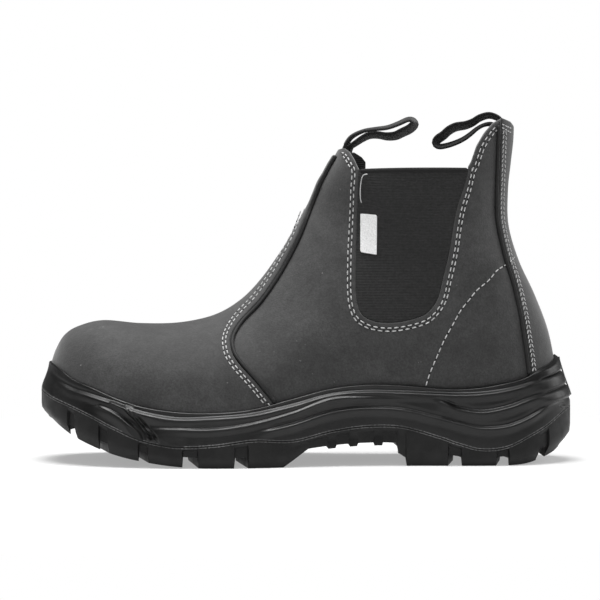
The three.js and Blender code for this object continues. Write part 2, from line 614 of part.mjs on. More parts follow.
function makeUpper() {
  const [first, last] = [goreLine[0], goreLine[goreLine.length - 1]];
  const cutOut = sidePrism([...goreLine, [last[0], FAR], [first[0], FAR]]);
  const inset = MARGIN + LIP;
  const open = soleRows.filter((row) => row.half > 2 * inset);
  const edge = (side) => open.map((row) => insetPoint(row, row.lean + inset, side, 0).slice(0, 2));
  const opening = planPrism([...edge(-1), ...edge(1).reverse()], 0, OPENING_TOP * RIM_HEIGHT);
  return shell(-LAYER, inside).subtract(aboveTopline).subtract(cutOut).subtract(opening);
}

// The panel of the skin's overlay inside an outline of the side view
const overlay = (outline) =>
  form(0, -LAYER).subtract(form(-OVERLAY)).intersect(sidePrism(outline)).subtract(aboveTopline);

const seamGap = PIPING / 2 + GAP;

function makeVamp() {
  const seam = offsetLine(smoothLine(VAMP_SEAM.map(sidePoint), SEAM_STEPS), seamGap);
  const top = seam[seam.length - 1];
  const foot = bedLine.filter(([x]) => x < seam[0][0] - SUNK).map(([x, z]) => [x, z + SUNK]);
  return overlay([[-FAR, foot[0][1]], ...foot, ...seam, [top[0], FAR], [-FAR, FAR]]);
}

function makeBackstay() {
  const seam = offsetLine(smoothLine(BACK_SEAM.map(sidePoint), SEAM_STEPS), -seamGap);
  const foot = seam[0][1] - SUNK / 2;
  const top = seam[seam.length - 1];
  return overlay([[seam[0][0], foot], [FAR, foot], [FAR, FAR], [top[0], FAR], ...seam.reverse()]);
}

function makeGore(side) {
  const outline = offsetLine(goreLine, GAP);
  outline[0][1] = goreLine[0][1];
  outline[outline.length - 1][1] = goreLine[0][1];
  const face = -LAYER - GORE_SINK;
  const panel = sidePrism(outline, ...(side < 0 ? [-BALL_WIDTH, 0] : [0, BALL_WIDTH]));
  return shell(face, face - ELASTIC).intersect(panel);
}

function makeLabel() {
  const face = -LAYER - GORE_SINK + GAP;
  return shell(face + LABEL_THICK, face).intersect(sidePrism(LABEL.map(sidePoint), -BALL_WIDTH, 0));
}

function makeInsole() {
  const top = bedLine.map(([x, z]) => [x, z + LAYER + WALL + GAP + INSOLE]);
  const front = [-FAR, top[0][1]];
  const back = [FAR, top[top.length - 1][1]];
  return form(inside - GAP).intersect(sidePrism([[-FAR, 0], [FAR, 0], back, ...top.reverse(), front]));
}

function makePiping(line, side) {
  const seam = smoothLine(line.map(sidePoint), PIPING_STEPS);
  const points = seam.map(([x, z]) => onForm(x, z, side, seamGap - LAYER));
  return cord(points, PIPING, PIPING_STEPS).subtract(form(GAP - LAYER));
}

// A pull loop: a band of webbing that stands above the collar, and its tail sewn to the lining
function makeLoop(line, from, to, tailTop) {
  const half = WEBBING_WIDTH / 2;
  const path = smoothLine(line.map(sidePoint), SEAM_STEPS);
  const edges = [WEBBING / 2, -WEBBING / 2].map((distance) => offsetLine(path, distance));
  const band = sidePrism([...edges[1], ...edges[0].reverse()], -half, half);
  const face = inside - GAP;
  const area = [[from, tailTop - LOOP_TAIL], [to, tailTop - LOOP_TAIL], [to, tailTop], [from, tailTop]];
  const tail = shell(face, face - 2 * WEBBING).intersect(sidePrism(area, -half, half));
  return band.add(tail);
}

// A finished solid as a named mesh in its place
function mesh(name, made, material) {
  const { numProp, vertProperties, triVerts } = made.getMesh();
  const positions = [];
  for (let i = 0; i < vertProperties.length; i += numProp)
    positions.push(...vertProperties.subarray(i, i + 3));
  const geometry = new THREE.BufferGeometry();
  geometry.setAttribute("position", new THREE.Float32BufferAttribute(positions, 3));
  geometry.setIndex([...triVerts]);
  geometry.computeVertexNormals();
  const part = new THREE.Mesh(geometry, material);
  part.name = name;
  return part;
}

const finish = (color, roughness) => new THREE.MeshStandardMaterial({ color, roughness, metalness: 0 });
const leather = finish(0x4a4a4a, 0.85);
const rubber = finish(0x262626, 0.5);
const elastic = finish(0x2b2b2b, 0.95);
const webbing = finish(0x1c1c1c, 0.9);
const board = finish(0x303030, 0.95);
const tape = finish(0xe6e6e6, 0.8);

const middleX = SOLE_LENGTH * SHAFT_AXIS;
const frontTail = [0, middleX, topline[3][1] + TAIL_STANDS];
const rearTail = [middleX, FAR, Math.max(...topline.map(([, z]) => z)) - TAIL_STANDS];

const boot = new THREE.Group();
boot.add(
  mesh("outsole", makeOutsole(), rubber),
  mesh("midsole", makeMidsole(), rubber),
  mesh("insole", makeInsole(), board),
  mesh("upper", makeUpper(), leather),
  mesh("vamp", makeVamp(), leather),
  mesh("backstay", makeBackstay(), leather),
  mesh("gore_lateral", makeGore(-1), elastic),
  mesh("gore_medial", makeGore(1), elastic),
  mesh("label", makeLabel(), tape),
  mesh("pull_loop_front", makeLoop(LOOP_FRONT, ...frontTail), webbing),
  mesh("pull_loop_rear", makeLoop(LOOP_REAR, ...rearTail), webbing),
  mesh("piping_front_lateral", makePiping(VAMP_SEAM.slice(1), -1), webbing),
  mesh("piping_front_medial", makePiping(VAMP_SEAM.slice(1), 1), webbing),
  mesh("piping_back_lateral", makePiping(BACK_SEAM, -1), webbing),
  mesh("piping_back_medial", makePiping(BACK_SEAM, 1), webbing),
);

// The boot stands with the middle of its box over the origin
const box = new THREE.Box3().setFromObject(boot);
boot.position.set(-(box.min.x + box.max.x) / 2, -(box.min.y + box.max.y) / 2, -box.min.z);

export default boot;
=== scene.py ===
"""The looks of a left pull-on work boot with elastic sides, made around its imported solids.

Sizes are millimetres in the boot's straight frame: x from the toe tip to the heel, z up from the floor and
y across, with the outer side at -y. bend() carries that frame onto the curved boot and add_piece() turns it
into metres. The leather is a fan of rings from toe to collar, and the sole follows its own outline.
"""
import math

import bpy
import numpy as np
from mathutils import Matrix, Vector


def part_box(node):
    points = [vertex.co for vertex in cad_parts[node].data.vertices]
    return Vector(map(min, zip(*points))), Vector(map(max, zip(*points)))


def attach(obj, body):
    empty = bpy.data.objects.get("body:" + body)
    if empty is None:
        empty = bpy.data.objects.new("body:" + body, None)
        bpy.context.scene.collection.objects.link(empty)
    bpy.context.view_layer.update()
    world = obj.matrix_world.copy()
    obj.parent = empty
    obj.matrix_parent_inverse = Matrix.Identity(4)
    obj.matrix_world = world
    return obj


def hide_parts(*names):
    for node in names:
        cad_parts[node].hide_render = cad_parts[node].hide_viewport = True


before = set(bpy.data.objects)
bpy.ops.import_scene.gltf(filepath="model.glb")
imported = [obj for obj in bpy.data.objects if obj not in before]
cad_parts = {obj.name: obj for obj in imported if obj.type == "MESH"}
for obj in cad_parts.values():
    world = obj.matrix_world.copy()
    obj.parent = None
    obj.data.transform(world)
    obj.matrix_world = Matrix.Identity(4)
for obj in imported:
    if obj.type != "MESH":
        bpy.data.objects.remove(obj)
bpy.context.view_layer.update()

# Driving sizes, as in the solids
SOLE_LENGTH = 308.0
BALL_WIDTH = 112.0
RIM_HEIGHT = 45.0
TOE_HEIGHT = 81.0
COLLAR_HEIGHT = 165.0
SHAFT_WIDTH = 80.0
SHAFT_TURN = math.radians(5.0)
SHAFT_AXIS = 0.708
INSTEP_LEAN = 4.5
WALL = 2.0
OVERLAY = 1.2
GAP = 0.3
ELASTIC = 1.4
MARGIN = 11.0
SUNK = 7.5
LIP = 1.3
PIPING = 2.2
WEBBING = 2.2
WEBBING_WIDTH = 19.0
LOOP_TAIL = 16.0
TAIL_STANDS = 3.0
LABEL_THICK = 0.6
LUG_RELIEF = 1.4
LUG_TUCK = 2.2
CHANNEL = 8.0
ARCH_RIB = 4.6
ARCH_RIB_DEPTH = 1.6
RIB_STANDS = 0.8
TURN_FROM = 1.3
LEAN_TO = 1.15
LEAN_ALONG = [0.0, 0.35, 0.4, 0.56]
OPENING_TOP = 0.9
TAB_SKEW = (0.08, 25.0)
BED_ROWS = (3, 14)

LAYER = OVERLAY + GAP
RISE = COLLAR_HEIGHT - RIM_HEIGHT
LINING = -LAYER - WALL
FAR = SOLE_LENGTH * 1.2
MM = 0.001

# Sizes of the fine detail
SKIN_SPACING = 1.7
SKIN_SIDES = 158
FINE_SPACING = 1.15
FINE_SIDES = 200
ROLL = 0.8
STITCH = 2.7
STITCH_PITCH = 3.9
THREAD = 0.72
ROW_INSET = 2.8
ROW_SPACING = 1.75
VAMP_ROW_POINTS = 12
COLLAR_EASE = 6.0
BINDING_INSET = 0.6
BINDING_POINTS = 60
GORE_SINK = 0.6

# The form: top x, toe, rise, bottom x, rim, climb, half width as shares of BALL_WIDTH and SHAFT_WIDTH,
# place of the widest point, roundness of top and bottom, share under the foot
FORM = [
    [0.018, 0.63, 0.0, 0.018, 1.0, 0.0, 0.036, 0.0, 0.5, 2.0, 2.0, 0.0],
    [0.02, 0.7, 0.0, 0.021, 0.91, 0.0, 0.089, 0.0, 0.55, 2.0, 2.2, 0.2],
    [0.029, 0.8, 0.0, 0.032, 0.83, 0.0, 0.165, 0.0, 0.6, 2.0, 2.6, 0.6],
    [0.045, 0.9, 0.0, 0.049, 0.77, 0.0, 0.232, 0.0, 0.64, 2.05, 3.0, 1.0],
    [0.071, 0.96, 0.0, 0.075, 0.69, 0.0, 0.295, 0.0, 0.68, 2.1, 3.4, 1.0],
    [0.117, 1.0, 0.0, 0.12, 0.58, 0.0, 0.366, 0.0, 0.72, 2.15, 3.8, 1.0],
    [0.188, 0.98, 0.0, 0.188, 0.46, 0.0, 0.425, 0.0, 0.75, 2.1, 4.0, 1.0],
    [0.26, 0.99, 0.0, 0.266, 0.4, 0.0, 0.452, 0.0, 0.76, 2.0, 4.0, 1.0],
    [0.325, 1.0, 0.04, 0.357, 0.41, 0.0, 0.45, 0.0, 0.76, 1.95, 4.0, 1.0],
    [0.375, 1.0, 0.14, 0.448, 0.48, 0.0, 0.302, 0.147, 0.74, 1.95, 4.2, 1.0],
    [0.416, 1.0, 0.29, 0.545, 0.61, 0.0, 0.193, 0.237, 0.7, 2.0, 4.6, 1.0],
    [0.448, 1.0, 0.45, 0.666, 0.69, 0.0, 0.121, 0.293, 0.64, 2.0, 5.0, 1.0],
    [0.473, 1.0, 0.6, 0.789, 0.69, 0.0, 0.079, 0.35, 0.58, 2.05, 5.0, 1.0],
    [0.49, 1.0, 0.72, 0.896, 0.68, 0.0, 0.049, 0.387, 0.54, 2.1, 4.6, 1.0],
    [0.498, 1.0, 0.77, 0.945, 0.78, 0.0, 0.035, 0.401, 0.53, 2.1, 3.4, 0.6],
    [0.505, 1.0, 0.82, 0.969, 1.0, 0.03, 0.024, 0.414, 0.52, 2.1, 2.4, 0.0],
    [0.513, 1.0, 0.89, 0.959, 1.0, 0.23, 0.011, 0.435, 0.5, 2.1, 2.2, 0.0],
    [0.521, 1.0, 0.96, 0.932, 1.0, 0.42, 0.0, 0.463, 0.49, 2.15, 2.1, 0.0],
    [0.531, 1.0, 1.02, 0.901, 1.0, 0.59, 0.0, 0.475, 0.48, 2.2, 2.1, 0.0],
    [0.54, 1.0, 1.08, 0.882, 1.0, 0.76, 0.0, 0.485, 0.48, 2.2, 2.1, 0.0],
    [0.55, 1.0, 1.14, 0.881, 1.0, 0.93, 0.0, 0.492, 0.48, 2.2, 2.1, 0.0],
    [0.558, 1.0, 1.21, 0.886, 1.0, 1.06, 0.0, 0.497, 0.48, 2.2, 2.1, 0.0],
    [0.567, 1.0, 1.3, 0.891, 1.0, 1.18, 0.0, 0.5, 0.48, 2.2, 2.1, 0.0],
    [0.573, 1.0, 1.44, 0.892, 1.0, 1.31, 0.0, 0.5, 0.48, 2.2, 2.1, 0.0],
]

# The sole: x, outer and inner half width, then heights of rim, bead, step, ridge, parting, base and
# tread as shares of RIM_HEIGHT, and the tuck in LUG_TUCKs
SOLE = [
    [0.0, -0.045, 0.045, 1.26, 1.15, 1.06, 0.99, 0.93, 0.69, 0.58, 2.05],
    [0.005, 0.062, 0.152, 1.26, 1.15, 1.06, 0.98, 0.92, 0.68, 0.57, 2.05],
    [0.018, 0.165, 0.241, 1.23, 1.11, 1.02, 0.94, 0.88, 0.66, 0.55, 2.0],
    [0.039, 0.254, 0.308, 1.16, 1.03, 0.95, 0.88, 0.82, 0.58, 0.47, 1.82],
    [0.068, 0.33, 0.362, 1.05, 0.95, 0.88, 0.81, 0.75, 0.49, 0.365, 1.55],
    [0.107, 0.402, 0.406, 0.96, 0.88, 0.78, 0.7, 0.64, 0.37, 0.255, 1.36],
    [0.153, 0.455, 0.442, 0.84, 0.79, 0.65, 0.56, 0.49, 0.27, 0.15, 1.18],
    [0.205, 0.491, 0.464, 0.74, 0.68, 0.51, 0.42, 0.345, 0.2, 0.075, 1.09],
    [0.266, 0.518, 0.478, 0.68, 0.61, 0.49, 0.37, 0.27, 0.15, 0.02, 1.0],
    [0.334, 0.525, 0.473, 0.67, 0.62, 0.49, 0.39, 0.285, 0.13, 0.0, 1.0],
    [0.406, 0.504, 0.442, 0.71, 0.66, 0.555, 0.44, 0.345, 0.14, 0.0, 1.0],
    [0.477, 0.455, 0.397, 0.83, 0.765, 0.68, 0.54, 0.335, 0.2, 0.0, 1.0],
    [0.545, 0.406, 0.362, 0.95, 0.89, 0.84, 0.68, 0.44, 0.26, 0.0, 1.0],
    [0.61, 0.379, 0.344, 1.0, 0.93, 0.86, 0.73, 0.5, 0.29, 0.0, 1.0],
    [0.675, 0.371, 0.344, 0.99, 0.92, 0.84, 0.71, 0.49, 0.28, 0.0, 1.0],
    [0.74, 0.371, 0.353, 0.95, 0.9, 0.81, 0.61, 0.37, 0.18, 0.0, 1.0],
    [0.779, 0.375, 0.36, 0.94, 0.89, 0.72, 0.54, 0.28, 0.12, 0.0, 1.09],
    [0.821, 0.375, 0.364, 0.96, 0.9, 0.68, 0.48, 0.21, 0.11, 0.0, 1.18],
    [0.867, 0.362, 0.36, 1.01, 0.94, 0.73, 0.5, 0.24, 0.12, 0.0, 1.27],
    [0.909, 0.326, 0.332, 1.07, 1.0, 0.82, 0.6, 0.37, 0.17, 0.02, 1.55],
    [0.945, 0.263, 0.275, 1.18, 1.07, 0.89, 0.73, 0.5, 0.23, 0.08, 2.0],
    [0.974, 0.183, 0.196, 1.25, 1.12, 0.94, 0.79, 0.64, 0.3, 0.14, 2.55],
    [0.993, 0.089, 0.107, 1.32, 1.15, 0.97, 0.81, 0.71, 0.37, 0.19, 3.0],
    [1.0, -0.009, 0.009, 1.35, 1.16, 0.98, 0.82, 0.74, 0.39, 0.2, 3.18],
]

# Lines of the side view: x as a share of SOLE_LENGTH, height as a share of RISE above RIM_HEIGHT
TOPLINE = [
    [0.487, 1.098], [0.547, 1.098], [0.558, 1.124], [0.572, 1.126], [0.584, 1.105], [0.594, 1.07],
    [0.605, 1.018], [0.808, 1.018], [0.815, 1.05], [0.825, 1.125], [0.839, 1.188], [0.854, 1.236],
    [0.869, 1.262], [0.883, 1.25], [0.893, 1.21], [0.937, 1.19],
]
GORE = [
    [0.605, 1.018], [0.603, 0.917], [0.6, 0.775], [0.596, 0.592], [0.594, 0.45], [0.596, 0.38],
    [0.604, 0.33], [0.625, 0.301], [0.656, 0.293], [0.689, 0.305], [0.717, 0.328], [0.734, 0.366],
    [0.746, 0.417], [0.755, 0.497], [0.77, 0.637], [0.779, 0.755], [0.788, 0.848], [0.798, 0.922],
    [0.808, 1.018],
]
VAMP_SEAM = [
    [0.446, -0.075], [0.411, 0.033], [0.38, 0.121], [0.368, 0.175], [0.367, 0.233], [0.383, 0.304],
    [0.416, 0.392], [0.445, 0.496], [0.469, 0.6], [0.488, 0.695], [0.502, 0.783], [0.51, 0.842],
    [0.519, 0.9], [0.527, 0.95], [0.537, 1.0], [0.548, 1.05], [0.5565, 1.085],
]
BACK_SEAM = [
    [0.912, 0.058], [0.909, 0.133], [0.904, 0.225], [0.897, 0.35], [0.887, 0.478], [0.874, 0.6],
    [0.864, 0.725], [0.86, 0.817], [0.861, 0.958], [0.864, 1.217],
]
LABEL = [[0.607, 0.808], [0.638, 0.8], [0.635, 0.614], [0.605, 0.627]]
LOOP_FRONT = [
    [0.575, 1.148], [0.583, 1.181], [0.596, 1.204], [0.612, 1.219], [0.632, 1.227], [0.654, 1.234],
    [0.674, 1.252], [0.692, 1.272], [0.702, 1.269], [0.706, 1.249], [0.697, 1.224], [0.682, 1.205],
    [0.669, 1.19], [0.653, 1.187], [0.636, 1.194], [0.62, 1.192], [0.606, 1.175],
    [0.59, 1.148], [0.581, 1.134],
]
LOOP_REAR = [
    [0.869, 1.239], [0.864, 1.268], [0.846, 1.286], [0.828, 1.274], [0.815, 1.253], [0.801, 1.239],
    [0.783, 1.231], [0.77, 1.214], [0.76, 1.191], [0.749, 1.171], [0.746, 1.152], [0.752, 1.141],
    [0.766, 1.146], [0.782, 1.159], [0.797, 1.177], [0.81, 1.2], [0.822, 1.225], [0.838, 1.245],
    [0.852, 1.245], [0.864, 1.218],
]
COUNTER_ROW = [
    [0.879, 0.574], [0.858, 0.542], [0.841, 0.495], [0.817, 0.446], [0.802, 0.402], [0.785, 0.35],
    [0.77, 0.285], [0.754, 0.215], [0.74, 0.135], [0.727, 0.056], [0.719, -0.01],
]
CROSS_ROWS = [
    [[0.868, 1.232], [0.887, 1.216]],
    [[0.868, 1.216], [0.887, 1.196]],
    [[0.881, 0.58], [0.893, 0.61]],
]

# Raised ribs on the toe's side, on the line scale 0 rim, 1 bead, 2 step, 3 ridge, 4 parting
TOE_RIBS = [
    [[0.146, 1.0], [0.17, 1.07], [0.181, 1.31], [0.193, 1.62], [0.204, 2.05], [0.214, 2.85], [0.218, 3.6]],
    [[0.183, 1.13], [0.2, 1.54], [0.211, 1.97], [0.221, 2.63], [0.227, 3.48]],
    [[0.125, 1.72], [0.148, 1.72], [0.167, 1.86], [0.184, 2.22], [0.199, 2.82], [0.207, 3.6]],
]
GROOVES = [
    [0.063, 0.077, 0.02],
    [0.124, 0.141, 0.04],
    [0.198, 0.215, 0.04],
    [0.278, 0.306, 0.03],
    [0.373, 0.397, 0.03],
    [0.76, 0.783, -0.02],
    [0.849, 0.871, -0.02],
    [0.93, 0.948, 0.0],
]
ARCH = [
    [0.461, 0.0], [0.483, 0.11], [0.506, 0.23], [0.512, 1.0], [0.662, 1.0], [0.668, 0.16],
    [0.681, 0.12], [0.684, 0.0],
]
ARCH_RIBS = [0.548, 0.587, 0.632]
CHANNELS = [[0.124, 0.44], [0.714, 0.93]]

# Soft folds and swellings of the leather: x and height as in the lines above, then half length and
# half width in millimetres, slope in degrees, height in millimetres, and the side (-1, 1 or 0 for both)
FOLDS = [
    [0.30, 0.30, 26.0, 7.0, 12.0, -0.7, 0],
    [0.335, 0.33, 22.0, 6.0, 24.0, 0.5, 0],
    [0.37, 0.42, 20.0, 5.0, 38.0, -0.6, 0],
    [0.42, 0.55, 20.0, 5.0, 52.0, 0.4, 0],
    [0.455, 0.30, 26.0, 9.0, 58.0, -0.8, 0],
    [0.50, 0.24, 30.0, 9.0, 50.0, 0.6, 0],
    [0.575, 0.62, 40.0, 5.0, 88.0, 0.5, 0],
    [0.62, 0.13, 34.0, 8.0, 18.0, -0.5, -1],
    [0.70, 0.20, 34.0, 8.0, 8.0, 0.5, -1],
    [0.83, 0.62, 24.0, 7.0, 74.0, -0.6, 0],
    [0.86, 0.30, 30.0, 9.0, 80.0, 0.4, 0],
    [0.12, 0.20, 24.0, 12.0, -30.0, -0.4, -1],
    [0.24, 0.08, 34.0, 9.0, -4.0, 0.4, 0],
    [0.62, 0.14, 30.0, 8.0, 24.0, -0.6, 1],
    [0.72, 0.18, 34.0, 9.0, -6.0, 0.5, 1],
]


def along(rows, u):
    """A table's columns at row numbers u: cubic curves through the rows, with slopes from the neighbours."""
    rows = np.asarray(rows, float)
    u = np.asarray(u, float)
    last = len(rows) - 1
    i = np.clip(np.floor(u).astype(int), 0, last - 1)
    f = (u - i)[..., None]
    a, b = rows[np.maximum(i - 1, 0)], rows[i]
    d, e = rows[i + 1], rows[np.minimum(i + 2, last)]
    in1, in2 = (d - a) / 2, (e - b) / 2
    return b + f * (in1 + f * (3 * (d - b) - 2 * in1 - in2 + f * (2 * (b - d) + in1 + in2)))


def ease(start, end, x):
    """0 before start, 1 after end and a smooth cubic between them."""
    f = np.clip((np.asarray(x, float) - start) / (end - start), 0, 1)
    return f * f * (3 - 2 * f)


def side_points(rows):
    """Rows of shares as points of the side view, in millimetres."""
    rows = np.asarray(rows, float)
    return np.stack([rows[:, 0] * SOLE_LENGTH, RIM_HEIGHT + rows[:, 1] * RISE], -1)


def resample(points, spacing):
    """Points an even distance apart on a polyline, by linear interpolation over its running length."""
    run = np.concatenate([[0], np.cumsum(np.linalg.norm(np.diff(points, axis=0), axis=1))])
    count = max(int(round(run[-1] / spacing)), 2)
    at = np.linspace(0, run[-1], count + 1)
    return np.stack([np.interp(at, run, points[:, c]) for c in range(points.shape[1])], -1)


def smooth_line(points, spacing=1.0):
    """An even polyline along the cubic curve through the points."""
    points = np.asarray(points, float)
    dense = along(points, np.linspace(0, len(points) - 1, 60 * len(points)))
    return resample(dense, spacing)


def offset_line(points, distance):
    """The polyline moved to the left of its direction, along the normal of its neighbours' chord."""
    ends = np.concatenate([points[:1], points, points[-1:]])
    chord = ends[2:] - ends[:-2]
    chord /= np.linalg.norm(chord, axis=1)[:, None]
    return points + distance * np.stack([-chord[:, 1], chord[:, 0]], -1)


SOLE_U = np.linspace(0, len(SOLE) - 1, 6000)
SOLE_DENSE = along(SOLE, SOLE_U)
SOLE_X = SOLE_DENSE[:, 0] * SOLE_LENGTH
SOLE_BOW = (SOLE_DENSE[:, 2] - SOLE_DENSE[:, 1]) / 2 * BALL_WIDTH


def bend(points):
    """Straight points on the curved boot: bowed along the sole, leaned over the instep and turned about
    an upright axis through the shaft."""
    x, y, z = np.moveaxis(np.asarray(points, float), -1, 0)
    axis = SOLE_LENGTH * SHAFT_AXIS
    angle = SHAFT_TURN * ease(RIM_HEIGHT * TURN_FROM, COLLAR_HEIGHT, z)
    x0, x1, x2, x3 = (share * SOLE_LENGTH for share in LEAN_ALONG)
    lean = INSTEP_LEAN * ease(RIM_HEIGHT, TOE_HEIGHT * LEAN_TO, z) * ease(x0, x1, x) * (1 - ease(x2, x3, x))
    dx = x - axis
    across = -dx * np.sin(angle) + y * np.cos(angle) + np.interp(x, SOLE_X, SOLE_BOW) + lean
    return np.stack([axis + dx * np.cos(angle) + y * np.sin(angle), across, z], -1)


# The straight frame's origin in the boot's frame, from the outsole's outer edge at the ball
OUTER_EDGE = -max(row[1] for row in SOLE) * BALL_WIDTH
ORIGIN = np.array([-SOLE_LENGTH / 2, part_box("outsole")[0].y / MM - OUTER_EDGE, 0.0])


def form_row(t):
    """Top and bottom of the ring at t in the side view, its half width and its roundness."""
    tx, toe, rise, bx, rim, climb, ball, shaft, at, p1, p2, _ = np.moveaxis(along(FORM, t), -1, 0)
    top = np.stack([tx * SOLE_LENGTH, toe * TOE_HEIGHT + rise * (COLLAR_HEIGHT - TOE_HEIGHT)], -1)
    bottom = np.stack([bx * SOLE_LENGTH, rim * RIM_HEIGHT + climb * RISE], -1)
    return top, bottom, ball * BALL_WIDTH + shaft * SHAFT_WIDTH, at, p1, p2


def form_point(t, q):
    """Points of the form: two superellipse quarters on each side of the line from a ring's top to its
    bottom. q is 0 on the ridge, 1 underneath by way of the outer side, and 2 on the ridge again."""
    t, q = np.broadcast_arrays(np.asarray(t, float), np.asarray(q, float))
    top, bottom, half, at, p1, p2 = form_row(t)
    side = np.where(q <= 1, -1.0, 1.0)
    h = np.where(q <= 1, q, 2 - q)
    upper = h < 0.5
    angle = np.where(upper, h, h - 0.5) * np.pi
    power = np.where(upper, p1, p2)
    c = np.clip(np.cos(angle), 0, 1) ** (2 / power)
    s = np.clip(np.sin(angle), 0, 1) ** (2 / power)
    share = np.where(upper, at * (1 - c), at + (1 - at) * s)
    width = np.where(upper, s, c)
    middle = top + (bottom - top) * share[..., None]
    return np.stack([middle[..., 0], side * half * width, middle[..., 1]], -1)


def form_normal(t, q):
    """Outward directions of the form, from four points close around each."""
    near, last = 0.02, len(FORM) - 1
    along_t = form_point(np.minimum(t + near, last), q) - form_point(np.maximum(t - near, 0), q)
    along_q = form_point(t, (q + near) % 2) - form_point(t, (q - near) % 2)
    normal = -np.cross(along_t, along_q)
    return normal / np.maximum(np.linalg.norm(normal, axis=-1), 1e-9)[..., None]


def ring_half(x, z):
    """Half width of the form at points of the side view, on the ring through each, found by halving."""
    x, z = np.broadcast_arrays(np.asarray(x, float), np.asarray(z, float))

    def past(t):
        """On which side of the ring at t each point lies."""
        top, bottom = form_row(t)[:2]
        line = bottom - top
        return line[..., 0] * (z - top[..., 1]) - line[..., 1] * (x - top[..., 0])

    low, high = np.zeros(x.shape), np.full(x.shape, len(FORM) - 1.0)
    rising = past(high) > past(low)
    for _ in range(26):
        middle = (low + high) / 2
        beyond = (past(middle) > 0) == rising
        low, high = np.where(beyond, low, middle), np.where(beyond, middle, high)
    top, bottom, half, at, p1, p2 = form_row(low)
    line = bottom - top
    share = ((x - top[..., 0]) * line[..., 0] + (z - top[..., 1]) * line[..., 1]) / (line**2).sum(-1)
    upper = share < at
    u = np.where(upper, (at - share) / at, (share - at) / (1 - at))
    width = np.maximum(1 - np.minimum(np.abs(u), 1) ** np.where(upper, p1, p2), 0)
    half = half * width ** (1 / np.where(upper, p1, p2))
    return np.where((share < 0) | (share > 1), 0, half)


def on_form(line, side, distance):
    """Points of the side view on the form's side, moved out by a distance, with the outward directions."""
    x, z = line[:, 0], line[:, 1]
    e = 0.5
    y = ring_half(x, z)
    dx = (ring_half(x + e, z) - ring_half(x - e, z)) / (2 * e)
    dz = (ring_half(x, z + e) - ring_half(x, z - e)) / (2 * e)
    normal = np.stack([-dx, side * np.ones_like(x), -dz], -1)
    normal /= np.linalg.norm(normal, axis=1)[:, None]
    return np.stack([x, side * y, z], -1) + normal * distance, normal


def swell(x, z, side):
    """Height of the leather's folds: for each a soft ridge or trough, long along its slope and Gaussian
    across it."""
    height = np.zeros_like(x)
    for share, up, length, width, slope, rise, where in FOLDS:
        dx, dz = x - share * SOLE_LENGTH, z - RIM_HEIGHT - up * RISE
        c, s = math.cos(math.radians(slope)), math.sin(math.radians(slope))
        shape = np.exp(-(((dx * c + dz * s) / length) ** 2) - ((-dx * s + dz * c) / width) ** 2)
        height += rise * shape * (1.0 if where == 0 else np.clip(0.5 + side * where, 0, 1))
    return height


def fan_grid(spacing, sides):
    """A grid of the form: rings spaced evenly over the longer of ridge and base, and even turns. Rows of
    the result hold point, outward direction and fold height; triangles face outwards."""
    last = len(FORM) - 1
    fine = np.linspace(0, last, 1500)
    paths = form_point(fine[:, None], np.array([[0.0, 0.5, 1.0]]))
    step = np.linalg.norm(np.diff(paths, axis=0), axis=-1).max(1)
    run = np.concatenate([[0], np.cumsum(step)])
    t = np.interp(np.linspace(0, run[-1], int(run[-1] / spacing) + 1), run, fine)
    q = np.arange(2 * sides // 2) / (sides // 2)
    point, normal = form_point(t[:, None], q[None]), form_normal(t[:, None], q[None])
    rise = swell(point[..., 0], point[..., 2], np.sign(point[..., 1]) * 0.5)
    data = np.concatenate([point, normal, rise[..., None]], -1).reshape(-1, 7)
    r, k = np.meshgrid(np.arange(len(t) - 1), np.arange(len(q)), indexing="ij")
    a = (r * len(q) + k).ravel()
    b = (r * len(q) + (k + 1) % len(q)).ravel()
    n = len(q)
    return data, np.concatenate([np.stack([a, b, b + n], 1), np.stack([a, b + n, a + n], 1)])


def distance_to(points, line):
    """Distance from points to a polyline, to the nearest place on its nearest segment, in blocks."""
    a, b = line[:-1], line[1:]
    d = b - a
    length = np.maximum((d**2).sum(1), 1e-12)
    result = np.empty(len(points))
    for i in range(0, len(points), 4096):
        p = points[i:i + 4096, None]
        f = np.clip(((p - a) * d).sum(-1) / length, 0, 1)
        result[i:i + 4096] = np.sqrt((((a + f[..., None] * d) - p) ** 2).sum(-1).min(1))
    return result


def inside(points, outline):
    """Which points lie in a closed outline, by counting the edges that a ray to the right crosses."""
    a, b = outline, np.roll(outline, -1, axis=0)
    result = np.empty(len(points), bool)
    for i in range(0, len(points), 4096):
        p = points[i:i + 4096, None]
        spans = (a[:, 1] > p[..., 1]) != (b[:, 1] > p[..., 1])
        slope = np.where(spans, (p[..., 1] - a[:, 1]) / np.where(a[:, 1] == b[:, 1], 1, b[:, 1] - a[:, 1]), 0)
        result[i:i + 4096] = (spans & (p[..., 0] < a[:, 0] + slope * (b[:, 0] - a[:, 0]))).sum(1) % 2 == 1
    return result


def within(points, outline):
    """Signed distance to a closed outline, positive inside."""
    closed = np.concatenate([outline, outline[:1]])
    return distance_to(points, closed) * np.where(inside(points, outline), 1, -1)


